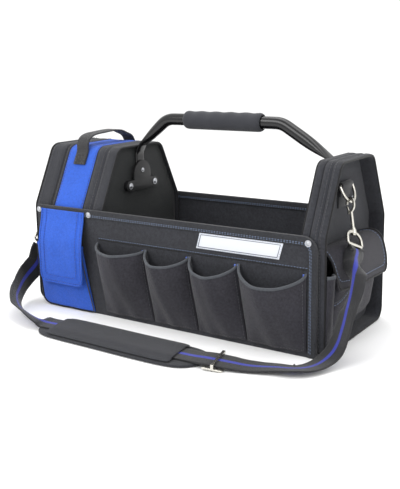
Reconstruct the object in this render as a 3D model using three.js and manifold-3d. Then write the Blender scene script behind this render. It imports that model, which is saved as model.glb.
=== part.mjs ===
// An open top tool tote: an open box between a zipped tool case and a padded end wall,
// with a bent tube handle over it, pockets on its outside and a shoulder strap laid in front.
// Millimetres. +X runs along the tote to the right end, the front faces -Y, +Z is up.
import * as THREE from "three";
import { mergeVertices } from "three/addons/utils/BufferGeometryUtils.js";
import Module from "manifold-3d";

const wasm = await Module();
wasm.setup();

// Driving sizes of the body.
const frontLength = 500;
const leftFace = -247;
const depth = 216;
const wallHeight = 165;
const wallThick = 3;
const gap = 0.3;
const endHeight = 260;
const endTopHalf = 56;
const endCorner = 20;
const endShoulderCorner = 26;
const endFootCorner = 12;
const footCorner = 16;
const frontTopCorner = 20;
const baseThick = 5;

// Bands of the tool case, from its outer face inwards.
const lidOverhang = 10;
const lidWidth = 33;
const zipWidth = 2.6;
const zipStripWidth = 5;
const gussetWidth = 60;
const innerBandWidth = 40;
const innerLip = 5;
const bandThick = 3;
const lidWall = 2.6;
const casePanelThick = 4;

// Right end: a padded wall with a rim standing out around it.
const rightWallInset = 25;
const rightWallThick = 12;
const rimDepth = 23.2;
const rimThick = 4;

// Bindings and rivets.
const bindingDepth = 11;
const bindingThick = 1.2;
const rivetRadius = 4.6;
const rivetHeight = 2.2;
const rivetLevel = 159;

// Front pockets.
const pocketCloth = 2;
const pocketTop = 117;
const pocketFoot = 7;
const pocketBulge = 30;
const pocketLean = 14;
const pocketDip = 17;
const pocketRowStart = 126;
const pocketRowEnd = 12;

// Blue pocket with its flap, on the front of the tool case.
const casePocketInset = 3;
const casePocketWidth = 93;
const casePocketLean = 21;
const casePocketTop = 107;
const casePocketBulge = 14;
const flapInset = 12;
const flapWidth = 90;
const flapLap = 8;
const flapFoot = 45;
const flapCloth = 2.2;
const flapCorner = 10;
const flapLean = 5;

// Bare label plate, its left edge slanted.
const labelStart = 311.5;
const labelLength = 134;
const labelHeight = 23;
const labelDrop = 34.5;
const labelSlant = 6.5;
const labelThick = 0.8;

// Flap pocket and narrow side pocket on the right end.
const endPocketCentre = -8;
const endPocketHalf = 68;
const endPocketFoot = 20;
const endPocketTop = 133;
const endPocketDepth = 34;
const endPocketDroop = 34;
const endFlapTop = 143;
const endFlapFoot = 87;
const endFlapReach = 42;
const endFlapSkew = 0.05;
const sidePocketTop = 113;
const sidePocketFoot = 10;
const sidePocketBulge = 7;

// Handle.
const tubeDiameter = 19;
const tongueThick = 4;
const tongueWidth = 22;
const tongueFoot = 204;
const handleHeight = 302.5;
const leftKneeLevel = 246;
const leftBendLevel = 259.5;
const leftBendReach = 9;
const rightBendLevel = 253.5;
const leftLegReach = 60;
const rightLegReach = 83.5;
const archRadius = 35;
const footRadius = 10;
const gripOffset = -9;
const gripLength = 136;
const gripDiameter = 29;
const gripClearance = 0.4;
const gripWave = 1.6;
const bracketThick = 3;
const bracketHalf = 22;
const bracketTop = 234;
const barHalf = 41;
const barHeight = 17;
const barLevel = 195;
const barRivetReach = 32;
const endRivetReach = 36;
const barRivetRadius = 5.2;
const screwLevel = 218;
const screwRadius = 3.6;

// Grab loop, strap fittings, strap and shoulder pad.
const loopWidth = 24;
const loopThick = 2.2;
const loopFoot = 231;
const loopRise = 17;
const webbingWidth = 38;
const webbingThick = 2.2;
const tabWidth = 34;
const rightTabLength = 32;
const leftTabLength = 15;
const ringHalf = 20;
const ringWire = 4;
const ringHeight = 26;
const rightRingLean = 24;
const leftRingLean = 9;
const rightRingLevel = 221;
const leftRingLevel = 174;
const leftRingPlace = -48;
const hookLength = 63;
const hookWire = 4;
const clawHalf = 7;
const clawRise = 9.5;
const stemRadius = 2.2;
const gatePivotReach = 3.7;
const barrelRadius = 3.8;
const barrelLength = 6;
const swivelPin = 1.5;
const eyeHalf = 21;
const eyeHeight = 19;
const gateRadius = 1.6;
const padBaseLength = 292;
const padBaseCentre = -9;
const padCoverLength = 226;
const padCoverCentre = -15;
const padWidth = 76;
const padBaseThick = 5.4;
const padCoverThick = 4;
const sliderLength = 28;
const sliderBar = 4;
const sliderThick = 2;
const sliderSlack = 0.9;
const sliderReach = 402;

// Places that several pieces share.
const frontRight = leftFace + frontLength;
const outerY = depth / 2;
const innerY = outerY - wallThick;
const endHalf = innerY - bindingThick - 2 * gap;
const caseFace = leftFace - lidOverhang;
const lidEnd = caseFace + lidWidth;
const zipEnd = lidEnd + gap + zipWidth;
const zipStripEnd = zipEnd + gap + zipStripWidth;
const gussetEnd = zipStripEnd + gap + gussetWidth;
const caseInner = gussetEnd + gap + innerBandWidth;
const casePanelFace = caseInner - innerLip;
const rightInner = frontRight - rightWallInset;
const recessFace = rightInner + rightWallThick;
const rimEnd = recessFace + gap + rimDepth;
const labelFoot = wallHeight - labelDrop;

const colours = {
  charcoal: 0x4a4a4e, pocket: 0x4c4a50, inner: 0x2a2d2f, blue: 0x3a62d8, binding: 0x3c3d42,
  steel: 0x17181a, foam: 0x4b4d53, nickel: 0xc9c2b4, rivet: 0xd2d4d6, webbing: 0x1c1d22,
  label: 0xe9ebee, pad: 0x4d5058, plastic: 0x1b1c1f,
};

const tote = new THREE.Group();

function addNode(name, geometry, colour, roughness = 0.85, metalness = 0, parent = tote) {
  const material = new THREE.MeshStandardMaterial({ color: colours[colour], roughness, metalness });
  const mesh = new THREE.Mesh(geometry, material);
  mesh.name = name;
  parent.add(mesh);
  return mesh;
}

const mix = (a, b, t) => a + (b - a) * t;
const ease = (t) => t * t * (3 - 2 * t);
const clamp01 = (t) => Math.min(1, Math.max(0, t));
const signedPower = (c, p) => Math.sign(c) * Math.abs(c) ** p;
const vector = (...p) => new THREE.Vector3(...p);

// Turns every face outwards when the body's signed volume is negative.
function outward(points, index) {
  const at = (i) => new THREE.Vector3().fromArray(points, 3 * i);
  let volume = 0;
  for (let i = 0; i < index.length; i += 3) {
    volume += at(index[i]).dot(at(index[i + 1]).cross(at(index[i + 2])));
  }
  if (volume < 0) index.reverse();
  const geometry = new THREE.BufferGeometry();
  geometry.setAttribute("position", new THREE.BufferAttribute(points, 3));
  geometry.setIndex(index);
  return geometry;
}

// A closed body through a row of loops with the same number of points. An open row is capped
// by joining point j of each end loop to its partner n - 1 - j.
function skin(loops, closed = false) {
  const n = loops[0].length;
  const index = [];
  const quad = (a, b, c, d) => index.push(a, b, c, a, c, d);
  const spans = closed ? loops.length : loops.length - 1;
  for (let i = 0; i < spans; i++) {
    const here = i * n;
    const next = ((i + 1) % loops.length) * n;
    for (let j = 0; j < n; j++) {
      const k = (j + 1) % n;
      quad(here + j, next + j, next + k, here + k);
    }
  }
  if (!closed) {
    const last = (loops.length - 1) * n;
    for (let j = 0; j < n / 2 - 1; j++) {
      quad(j, j + 1, n - 2 - j, n - 1 - j);
      quad(last + n - 1 - j, last + n - 2 - j, last + j + 1, last + j);
    }
  }
  return outward(new Float32Array(loops.flat(2)), index);
}

function toSolid(geometry) {
  const bare = geometry.clone();
  bare.deleteAttribute("normal");
  bare.deleteAttribute("uv");
  const merged = mergeVertices(bare, 1e-4);
  return new wasm.Manifold(new wasm.Mesh({
    numProp: 3,
    vertProperties: new Float32Array(merged.attributes.position.array),
    triVerts: new Uint32Array(merged.index.array),
  }));
}

function fromSolid(solid) {
  const mesh = solid.getMesh();
  const geometry = new THREE.BufferGeometry();
  geometry.setAttribute("position", new THREE.BufferAttribute(mesh.vertProperties, 3));
  geometry.setIndex(new THREE.BufferAttribute(mesh.triVerts, 1));
  return geometry;
}

// A convex outline, its corners given as [u, v, radius] and moved inwards by inset.
function roundedOutline(corners, inset, steps = 3) {
  const n = corners.length;
  const edges = corners.map(([u, v], i) => {
    const [u2, v2] = corners[(i + 1) % n];
    const length = Math.hypot(u2 - u, v2 - v);
    const normal = [-(v2 - v) / length, (u2 - u) / length];
    return { normal, offset: normal[0] * u + normal[1] * v + inset };
  });
  const points = [];
  corners.forEach(([, , radius], i) => {
    const before = edges[(i + n - 1) % n];
    const after = edges[i];
    const det = before.normal[0] * after.normal[1] - before.normal[1] * after.normal[0];
    const r = Math.max(radius - inset, 0.6);
    const a = before.offset + r;
    const b = after.offset + r;
    const cu = (a * after.normal[1] - b * before.normal[1]) / det;
    const cv = (b * before.normal[0] - a * after.normal[0]) / det;
    const start = Math.atan2(-before.normal[1], -before.normal[0]);
    let turn = Math.atan2(-after.normal[1], -after.normal[0]) - start;
    if (turn < 0) turn += 2 * Math.PI;
    for (let s = 0; s <= steps; s++) {
      const angle = start + (turn * s) / steps;
      points.push([cu + r * Math.cos(angle), cv + r * Math.sin(angle)]);
    }
  });
  return points;
}

// A sheet of cloth whose outer face is at(u, v) and whose thickness goes to the back side.
// The free side of the sheet never passes behind what it is sewn to, which hold keeps.
function clothSheet(at, thick, nu, nv, side, hold = (p) => p) {
  const step = 1e-3;
  const inner = (u, v) => {
    const across = vector(...at(Math.min(u + step, 1), v)).sub(vector(...at(Math.max(u - step, 0), v)));
    const along = vector(...at(u, Math.min(v + step, 1))).sub(vector(...at(u, Math.max(v - step, 0))));
    const normal = across.cross(along).normalize().multiplyScalar(side * thick);
    return hold(vector(...at(u, v)).add(normal).toArray());
  };
  const loops = [];
  for (let i = 0; i <= nv; i++) {
    const v = i / nv;
    const us = Array.from({ length: nu + 1 }, (_, j) => j / nu);
    loops.push([...us.map((u) => at(u, v)), ...us.reverse().map((u) => inner(u, v))]);
  }
  return skin(loops);
}

// A flat strip along stations of { p, w }, the width lying along w.
function ribbon(stations, width, thick) {
  const loops = stations.map(({ p, w }, i) => {
    const before = stations[Math.max(i - 1, 0)].p;
    const after = stations[Math.min(i + 1, stations.length - 1)].p;
    const along = after.clone().sub(before).normalize();
    const side = w.clone().addScaledVector(along, -w.dot(along)).normalize();
    const face = along.clone().cross(side);
    const corner = (a, b) => p.clone().addScaledVector(side, a * width / 2)
      .addScaledVector(face, b * thick / 2).toArray();
    return [corner(-1, -1), corner(1, -1), corner(1, 1), corner(-1, 1)];
  });
  return skin(loops);
}

// A wire along a flat path of points, in the plane whose normal is given.
function wire(points, radius, normal, closed, sides = 6) {
  const n = points.length;
  const loops = points.map((p, i) => {
    const before = closed ? points[(i + n - 1) % n] : points[Math.max(i - 1, 0)];
    const after = closed ? points[(i + 1) % n] : points[Math.min(i + 1, n - 1)];
    const along = after.clone().sub(before).normalize();
    const across = normal.clone().cross(along);
    return Array.from({ length: sides }, (_, k) => {
      const angle = (2 * Math.PI * (k + 0.5)) / sides;
      return p.clone().addScaledVector(across, radius * Math.cos(angle))
        .addScaledVector(normal, radius * Math.sin(angle)).toArray();
    });
  });
  return skin(loops, closed);
}

// A round body about its own axis: profile rows are [radius, height] and end on the axis.
function turned(profile, sides = 12) {
  return new THREE.LatheGeometry(profile.map(([r, h]) => new THREE.Vector2(r, h)), sides);
}

// A low domed head facing the given way, seated at a point.
function head(radius, height, place, facing) {
  const profile = [[0, 0], [radius, 0], [radius, 0.35 * height], [0.7 * radius, 0.85 * height], [0, height]];
  const geometry = turned(profile);
  geometry.applyQuaternion(new THREE.Quaternion().setFromUnitVectors(vector(0, 1, 0), facing));
  geometry.translate(...place);
  return geometry;
}

// The upright outline of both ends, in Y and Z.
const endCorners = [
  [-endHalf, 0, endFootCorner],
  [endHalf, 0, endFootCorner],
  [endHalf, wallHeight, endShoulderCorner],
  [endTopHalf, endHeight, endCorner],
  [-endTopHalf, endHeight, endCorner],
  [-endHalf, wallHeight, endShoulderCorner],
];

const endOutline = (x, inset) => roundedOutline(endCorners, inset).map(([y, z]) => [x, y, z]);

// A band around an end, from rows of [x, inset] closed on themselves.
const endBand = (rows) => skin(rows.map(([x, inset]) => endOutline(x, inset)), true);

// A board that fills an end's outline, its edges eased by a bevel.
function endBoard(x0, x1, bevel, inset = 0) {
  return skin([
    endOutline(x0, inset + bevel), endOutline(x0 + bevel, inset),
    endOutline(x1 - bevel, inset), endOutline(x1, inset + bevel),
  ]);
}

// A band with a rounded outer face and a groove along its middle.
function groovedBand(x0, x1, thick, grooveShare) {
  const groove = mix(x0, x1, grooveShare);
  const easing = 0.8;
  return endBand([
    [x0, easing], [x0 + easing, 0], [groove - easing, 0], [groove, easing], [groove + easing, 0],
    [x1 - easing, 0], [x1, easing], [x1, thick], [x0, thick],
  ]);
}

// The tool case is a hollow between its lid and its inner panel, closed by bands all round.
function toolCase() {
  const edge = 5;
  addNode("case_lid", skin([
    endOutline(caseFace, edge), endOutline(caseFace + edge / 4, edge / 4), endOutline(caseFace + edge, 0),
    endOutline(lidEnd, 0), endOutline(lidEnd, bandThick), endOutline(caseFace + edge, bandThick),
    endOutline(caseFace + lidWall, bandThick + edge / 2),
  ]), "charcoal");
  const plain = (x0, x1, sink) => endBand([
    [x0, sink], [x1, sink], [x1, bandThick + sink], [x0, bandThick + sink],
  ]);
  addNode("case_zip", plain(lidEnd + gap, zipEnd, 0.8), "steel", 0.6);
  addNode("case_zip_strip", plain(zipEnd + gap, zipStripEnd, 0), "charcoal");
  addNode("case_gusset", plain(zipStripEnd + gap, gussetEnd, 0.5), "blue");
  const bandStart = gussetEnd + gap;
  addNode("case_inner_band", groovedBand(bandStart, bandStart + innerBandWidth, bandThick, 0.47), "charcoal");
  const panel = endBoard(casePanelFace - casePanelThick, casePanelFace, 1, bandThick + gap);
  addNode("case_inner_panel", panel, "inner");
}

// The right end wall stands inside a rim that carries its outline outwards.
function rightEnd() {
  addNode("right_end_wall", endBoard(rightInner, recessFace, 2), "charcoal");
  addNode("right_end_rim", groovedBand(recessFace + gap, rimEnd, rimThick, 0.5), "charcoal");
}

// Front and back walls, each bound along its top and down its right edge.
const wallCorners = [
  [leftFace, 0, footCorner],
  [frontRight, 0, 3],
  [frontRight, wallHeight, frontTopCorner],
  [leftFace, wallHeight, 6],
];

function boundWall(name, side) {
  const outer = side * outerY;
  const inner = side * innerY;
  const outline = roundedOutline(wallCorners, 0);
  addNode(`${name}_wall`, skin([outer, inner].map((y) => outline.map(([x, z]) => [x, y, z]))), "charcoal");
  const cornerSteps = 6;
  const edgePath = (inset, y) => {
    const r = frontTopCorner - inset;
    const cx = frontRight - frontTopCorner;
    const cz = wallHeight - frontTopCorner;
    const points = [[leftFace, y, wallHeight - inset]];
    for (let s = 0; s <= cornerSteps; s++) {
      const angle = (Math.PI / 2) * (1 - s / cornerSteps);
      points.push([cx + r * Math.cos(angle), y, cz + r * Math.sin(angle)]);
    }
    points.push([frontRight - inset, y, gap]);
    return points;
  };
  const far = gap + bindingThick;
  const rows = [
    edgePath(bindingDepth, outer + side * far), edgePath(-far, outer + side * far),
    edgePath(-far, inner - side * far), edgePath(bindingDepth, inner - side * far),
    edgePath(bindingDepth, inner - side * gap), edgePath(-gap, inner - side * gap),
    edgePath(-gap, outer + side * gap), edgePath(bindingDepth, outer + side * gap),
  ];
  const loops = rows[0].map((_, i) => rows.map((row) => row[i]));
  addNode(`${name}_binding`, skin(loops), "binding");
  const rivets = [leftFace + rivetRadius, caseInner - 22, frontRight - bindingDepth];
  rivets.forEach((x, i) => {
    const place = [x, outer + side * (far + gap), rivetLevel - (i === 2 ? 1 : 0)];
    addNode(`${name}_rivet_${i + 1}`, head(rivetRadius, rivetHeight, place, vector(0, side, 0)), "rivet", 0.3, 1);
  });
}

function basePanel() {
  const x0 = caseInner + gap;
  const x1 = rightInner - gap;
  const y = innerY - gap;
  addNode("base_panel", skin([x0, x1].map((x) => [
    [x, -y, 0], [x, y, 0], [x, y, baseThick], [x, -y, baseThick],
  ])), "inner");
}

// Places of the seams along the pocket row, and each pocket's dip, both as shares.
const pocketSeams = [0, 0.262, 0.483, 0.708, 1];
const pocketDips = [0.5, 0.85, 1.05, 1.2];

// A pocket front that stands off the wall between two seams and dips along its open top.
function pocketFront({ x0, x1, lean0, lean1, foot, top, bulge, dip, flatness, cloth }) {
  const back = -outerY - gap;
  const at = (u, v) => {
    const x = mix(x0 + lean0 * (1 - v), x1 + lean1 * (1 - v), u);
    const crest = Math.sin(Math.PI * u ** 0.9) ** flatness;
    const rise = mix(0.1, 1, Math.sin((Math.PI / 2) * v));
    const edge = top - dip * Math.sin(Math.PI * u) ** 0.8;
    return [x, back - cloth - bulge * crest * rise, mix(foot, edge, v)];
  };
  const hold = ([x, y, z]) => [x, Math.min(y, back), z];
  return clothSheet(at, cloth, 12, 5, -1, hold);
}

function frontPockets() {
  const start = leftFace + pocketRowStart;
  const end = frontRight - pocketRowEnd;
  pocketDips.forEach((dip, i) => {
    const last = i === pocketDips.length - 1;
    addNode(`front_pocket_${i + 1}`, pocketFront({
      x0: mix(start, end, pocketSeams[i]) + gap,
      x1: mix(start, end, pocketSeams[i + 1]) - gap,
      lean0: pocketLean,
      lean1: last ? 0 : pocketLean,
      foot: pocketFoot,
      top: pocketTop,
      bulge: pocketBulge,
      dip: dip * pocketDip,
      flatness: 0.7,
      cloth: pocketCloth,
    }), "pocket");
  });
}

function casePocket() {
  addNode("case_pocket", pocketFront({
    x0: leftFace + casePocketInset,
    x1: leftFace + casePocketInset + casePocketWidth,
    lean0: 3,
    lean1: casePocketLean,
    foot: 2,
    top: casePocketTop,
    bulge: casePocketBulge,
    dip: 3,
    flatness: 0.24,
    cloth: pocketCloth,
  }), "blue");
  const back = -outerY - gap - bindingThick - gap;
  const over = casePocketBulge + pocketCloth - bindingThick;
  const x0 = leftFace + flapInset;
  const flapTop = wallHeight - bindingDepth + flapLap;
  const at = (u, v) => {
    const fromEdge = Math.min(u, 1 - u) * flapWidth;
    const inCorner = Math.max(0, flapCorner - fromEdge);
    const lift = flapCorner - Math.sqrt(flapCorner ** 2 - inCorner ** 2);
    const z = mix(flapFoot + lift, flapTop, v);
    const hang = ease(clamp01((flapTop - z) / (flapTop - casePocketTop)));
    return [x0 + flapWidth * u + flapLean * hang, back - flapCloth - over * hang, z];
  };
  addNode("case_flap", clothSheet(at, flapCloth, 8, 6, -1, ([x, y, z]) => [x, Math.min(y, back), z]), "blue");
}

function frontLabel() {
  const x0 = leftFace + labelStart;
  const y1 = -outerY - gap;
  const corners = [
    [x0, labelFoot], [x0 + labelLength, labelFoot],
    [x0 + labelLength + labelSlant, labelFoot + labelHeight], [x0 + labelSlant, labelFoot + labelHeight],
  ];
  addNode("front_label", skin([y1, y1 - labelThick].map((y) => corners.map(([x, z]) => [x, y, z]))), "label", 0.5);
}

// Depth of the end pocket over its height, as shares: [height, depth].
const endPocketRows = [[0, 0.12], [0.06, 0.5], [0.2, 0.78], [0.5, 0.97], [0.8, 1], [1, 0.86]];

function shareAt(rows, t) {
  const i = Math.max(1, rows.findIndex(([at]) => at >= t));
  const [a, left] = rows[i - 1];
  const [b, right] = rows[i];
  return mix(left, right, (t - a) / (b - a));
}

function endPocket() {
  const face = recessFace + gap;
  const skewed = (y) => endFlapSkew * (y - endPocketCentre);
  const body = (u, v) => {
    const y = endPocketCentre - endPocketHalf * signedPower(Math.cos(Math.PI * u), 0.45);
    const out = signedPower(Math.sin(Math.PI * u), 0.45) * shareAt(endPocketRows, v);
    const reach = endPocketDepth + skewed(y);
    const top = endPocketTop - endPocketDroop * (1 - ease(clamp01((y - endPocketCentre + endPocketHalf) / 50)));
    return [face + reach * out, y, mix(endPocketFoot, top, v)];
  };
  addNode("end_pocket", clothSheet(body, pocketCloth, 14, 6, -1, ([x, y, z]) => [Math.max(x, face), y, z]), "pocket");
  // The flap runs out over the pocket's mouth and hangs down its front: shares of reach and drop.
  const drop = endFlapTop - endFlapFoot;
  const flapLine = (rows) => new THREE.CatmullRomCurve3(
    rows.map(([out, down]) => vector(out * endFlapReach, 0, endFlapTop - down * drop)),
  );
  const line = flapLine([[-0.05, 0], [0.28, -0.05], [0.5, -0.02], [0.71, 0.12], [0.87, 0.5], [0.96, 1]]);
  const nearLine = flapLine([[-0.05, 0], [0.15, 0.03], [0.29, 0.1], [0.46, 0.26], [0.6, 0.45], [0.79, 1]]);
  const half = endPocketHalf + 3;
  const flap = (u, v) => {
    const y = endPocketCentre + half * (2 * u - 1);
    const fromEdge = Math.min(u, 1 - u) * 2 * half;
    const inCorner = Math.max(0, flapCorner - fromEdge);
    const lift = flapCorner - Math.sqrt(flapCorner ** 2 - inCorner ** 2);
    const p = nearLine.getPoint(1 - v).lerp(line.getPoint(1 - v), ease(clamp01(u / 0.35)));
    const sag = lift * (1 - v);
    return [face + flapCloth + p.x + skewed(y) * (1 - v), y, p.z + sag];
  };
  addNode("end_flap", clothSheet(flap, flapCloth, 10, 8, -1, ([x, y, z]) => [Math.max(x, face), y, z]), "pocket");
  const rimFace = rimEnd + gap + pocketCloth;
  const side = (u, v) => [
    rimFace + sidePocketBulge * Math.sin(Math.PI * u) * v,
    mix(-endHalf + 2, endPocketCentre - endPocketHalf - 5, u),
    mix(sidePocketFoot, sidePocketTop, v),
  ];
  addNode("side_pocket", clothSheet(side, pocketCloth, 5, 4, -1), "pocket");
}

// Points of a flat path whose inner corners are rounded, with extra points on long stretches.
function bentPath(corners, radii, spacing) {
  const points = [corners[0].clone()];
  for (let i = 1; i < corners.length - 1; i++) {
    const from = corners[i - 1].clone().sub(corners[i]).normalize();
    const to = corners[i + 1].clone().sub(corners[i]).normalize();
    const half = Math.acos(from.dot(to)) / 2;
    const tangent = radii[i - 1] / Math.tan(half);
    const start = corners[i].clone().addScaledVector(from, tangent);
    const end = corners[i].clone().addScaledVector(to, tangent);
    const curve = new THREE.QuadraticBezierCurve3(start, corners[i], end);
    points.push(...curve.getPoints(4));
  }
  points.push(corners[corners.length - 1].clone());
  const dense = [points[0]];
  for (let i = 1; i < points.length; i++) {
    const length = points[i].distanceTo(points[i - 1]);
    const parts = Math.max(1, Math.round(length / spacing));
    for (let k = 1; k <= parts; k++) dense.push(points[i - 1].clone().lerp(points[i], k / parts));
  }
  return dense;
}

// The handle is one tube, flattened at both ends into tongues that lie on the end walls.
function handle() {
  const leftX = casePanelFace + gap + tongueThick / 2;
  const rightX = rightInner - gap - tongueThick / 2;
  const corners = [
    [leftX, tongueFoot], [leftX, leftKneeLevel], [casePanelFace + leftBendReach, leftBendLevel],
    [casePanelFace + leftLegReach, handleHeight],
    [rightInner - rightLegReach, handleHeight], [rightX, rightBendLevel], [rightX, tongueFoot],
  ].map(([x, z]) => vector(x, 0, z));
  const path = bentPath(corners, [footRadius, footRadius, archRadius, archRadius, footRadius], 22);
  const travel = [0];
  for (let i = 1; i < path.length; i++) travel.push(travel[i - 1] + path[i].distanceTo(path[i - 1]));
  const total = travel[travel.length - 1];
  const flatLeft = leftBendLevel - tongueFoot + 4;
  const flatRight = rightBendLevel - tongueFoot + 4;
  const morph = 34;
  const sides = 10;
  const loops = path.map((p, i) => {
    const before = path[Math.max(i - 1, 0)];
    const after = path[Math.min(i + 1, path.length - 1)];
    const along = after.clone().sub(before).normalize();
    const across = along.clone().cross(vector(0, 1, 0));
    const round = ease(clamp01(Math.min(travel[i] - flatLeft, total - travel[i] - flatRight) / morph));
    const a = mix(tongueThick, tubeDiameter, round) / 2;
    const b = mix(tongueWidth, tubeDiameter, round) / 2;
    const power = mix(0.5, 1, round);
    return Array.from({ length: sides }, (_, k) => {
      const angle = (2 * Math.PI * (k + 0.5)) / sides;
      return p.clone().addScaledVector(across, a * signedPower(Math.cos(angle), power))
        .add(vector(0, b * signedPower(Math.sin(angle), power), 0)).toArray();
    });
  });
  addNode("handle_tube", skin(loops), "steel", 0.2, 0.6);
}

function handleGrip() {
  const centre = (casePanelFace + rightInner) / 2 + gripOffset;
  const sides = 12;
  const ring = (x, radiusAt) => Array.from({ length: sides }, (_, k) => {
    const angle = (2 * Math.PI * k) / sides;
    const r = radiusAt(Math.sin(angle));
    return [x, r * Math.cos(angle), handleHeight + r * Math.sin(angle)];
  });
  const bore = tubeDiameter / 2 + gripClearance;
  const outer = gripDiameter / 2;
  const steps = 20;
  const waves = 5;
  const loops = [ring(centre - gripLength / 2, () => bore), ring(centre - gripLength / 2, () => outer - 3)];
  for (let i = 0; i <= steps; i++) {
    const t = i / steps;
    const x = centre + (t - 0.5) * (gripLength - 6);
    const wave = gripWave * (Math.cos(2 * Math.PI * waves * t) - 1) / 2;
    loops.push(ring(x, (up) => outer + wave * Math.max(0, up)));
  }
  loops.push(ring(centre + gripLength / 2, () => outer - 3), ring(centre + gripLength / 2, () => bore));
  addNode("handle_grip", skin(loops, true), "foam", 0.95);
}

// A bracket: a crossbar on the wall and a round topped tab that clamps the tube's tongue.
function bracket(name, face, side) {
  const toWorld = new THREE.Matrix4().makeBasis(vector(0, 1, 0), vector(0, 0, 1), vector(1, 0, 0));
  const extruded = (shape, near, far) => {
    const geometry = new THREE.ExtrudeGeometry(shape, { depth: far - near, bevelEnabled: false, curveSegments: 8 });
    geometry.applyMatrix4(toWorld);
    geometry.translate(side > 0 ? face + near : face - far, 0, 0);
    return geometry;
  };
  const tab = new THREE.Shape();
  const shoulder = bracketTop - bracketHalf;
  tab.moveTo(-bracketHalf, barLevel);
  tab.lineTo(bracketHalf, barLevel);
  tab.lineTo(bracketHalf, shoulder);
  tab.absarc(0, shoulder, bracketHalf, 0, Math.PI, false);
  tab.lineTo(-bracketHalf, barLevel);
  const bar = new THREE.Shape();
  const end = barHeight / 2;
  bar.moveTo(-barHalf + end, barLevel - end);
  bar.lineTo(barHalf - end, barLevel - end);
  bar.absarc(barHalf - end, barLevel, end, -Math.PI / 2, Math.PI / 2, false);
  bar.lineTo(-barHalf + end, barLevel + end);
  bar.absarc(-barHalf + end, barLevel, end, Math.PI / 2, 1.5 * Math.PI, false);
  const near = gap + tongueThick + gap;
  const solid = toSolid(extruded(tab, near, near + bracketThick)).add(toSolid(extruded(bar, gap, near + bracketThick)));
  addNode(`bracket_${name}`, fromSolid(solid), "plastic", 0.5);
  const front = face + side * (near + bracketThick + gap);
  addNode(`bracket_screw_${name}`, head(screwRadius, 2, [front, 0, screwLevel], vector(side, 0, 0)), "rivet", 0.3, 1);
  [-1, 1].forEach((end_, i) => {
    const place = [front, end_ * barRivetReach, barLevel];
    addNode(`bracket_rivet_${name}_${i + 1}`, head(barRivetRadius, 2.6, place, vector(side, 0, 0)), "rivet", 0.3, 1);
  });
}

function endRivets() {
  [-1, 1].forEach((side, i) => {
    const place = [recessFace + gap, side * endRivetReach, barLevel];
    addNode(`end_rivet_${i + 1}`, head(rivetRadius, rivetHeight, place, vector(1, 0, 0)), "rivet", 0.3, 1);
  });
}

// The grab loop is a strip of webbing sewn to both slopes of the case and arched over its top.
function grabLoop() {
  const out = gap + loopThick / 2;
  const slope = (endHalf - endTopHalf) / (endHeight - wallHeight);
  const onSlope = (z) => endTopHalf + (endHeight - z) * slope + out * Math.hypot(1, slope);
  const sewn = [0, 10, 20].map((up) => [onSlope(loopFoot + up), loopFoot + up]);
  // The arch stands higher towards the front: rows of [place across the top, share of its rise].
  const arch = [
    [-1.08, 0.1], [-0.98, 0.6], [-0.78, 0.88], [-0.35, 1], [0.2, 1.06], [0.45, 0.98], [0.68, 0.7], [0.95, 0.28],
  ];
  const points = [
    ...sewn.map(([y, z]) => vector(0, -y, z)),
    ...arch.map(([place, share]) => vector(0, place * endTopHalf, endHeight + out + share * loopRise)),
    ...sewn.reverse().map(([y, z]) => vector(0, y, z)),
  ];
  const curve = new THREE.CatmullRomCurve3(points, false, "centripetal");
  const x = (zipStripEnd + gap + gussetEnd) / 2;
  const stations = curve.getPoints(36).map((p) => ({ p: p.add(vector(x, 0, 0)), w: vector(1, 0, 0) }));
  addNode("grab_loop", ribbon(stations, loopWidth, loopThick), "webbing");
}

// A flat path in the shape of a D: a straight bar and a round bow of the given height below it.
function ringPath(half, height, down, along, power = 0.8) {
  const points = [];
  for (let i = 0; i < 4; i++) points.push(along.clone().multiplyScalar(mix(half - 3, -half + 3, i / 3)));
  for (let i = 0; i <= 12; i++) {
    const angle = Math.PI * (i / 12);
    const bow = signedPower(Math.sin(angle), power) * height;
    points.push(along.clone().multiplyScalar(-half * Math.cos(angle)).addScaledVector(down, Math.max(bow, 2)));
  }
  return points;
}

const placed = (points, origin) => points.map((p) => p.clone().add(origin));

// A folded webbing tab sewn to a face, and the D ring that hangs in its fold.
function strapTab(name, face, side, y, level, tabLength, leanAngle) {
  const lean = THREE.MathUtils.degToRad(leanAngle);
  const ply = gap + webbingThick / 2;
  const fold = ringWire / 2 + gap + webbingThick / 2;
  const barX = face + side * (ply + fold);
  const points = [vector(face + side * ply, y, level - tabLength), vector(face + side * ply, y, level - tabLength / 2)];
  for (let i = 0; i <= 6; i++) {
    const angle = Math.PI * (i / 6);
    points.push(vector(barX - side * fold * Math.cos(angle), y, level + fold * Math.sin(angle)));
  }
  const close = face + side * (ply + webbingThick + gap);
  points.push(vector(close + side * 0.6, y, level - 10), vector(close, y, level - tabLength / 2));
  addNode(`strap_tab_${name}`, ribbon(points.map((p) => ({ p, w: vector(0, 1, 0) })), tabWidth, webbingThick), "webbing");
  const down = vector(side * Math.sin(lean), 0, -Math.cos(lean));
  const bar = vector(barX, y, level);
  const path = placed(ringPath(ringHalf, ringHeight, down, vector(0, 1, 0)), bar);
  const normal = vector(0, 1, 0).cross(down).normalize();
  addNode(`d_ring_${name}`, wire(path, ringWire / 2, normal, true), "nickel", 0.3, 1);
  return { bar, down };
}

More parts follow.
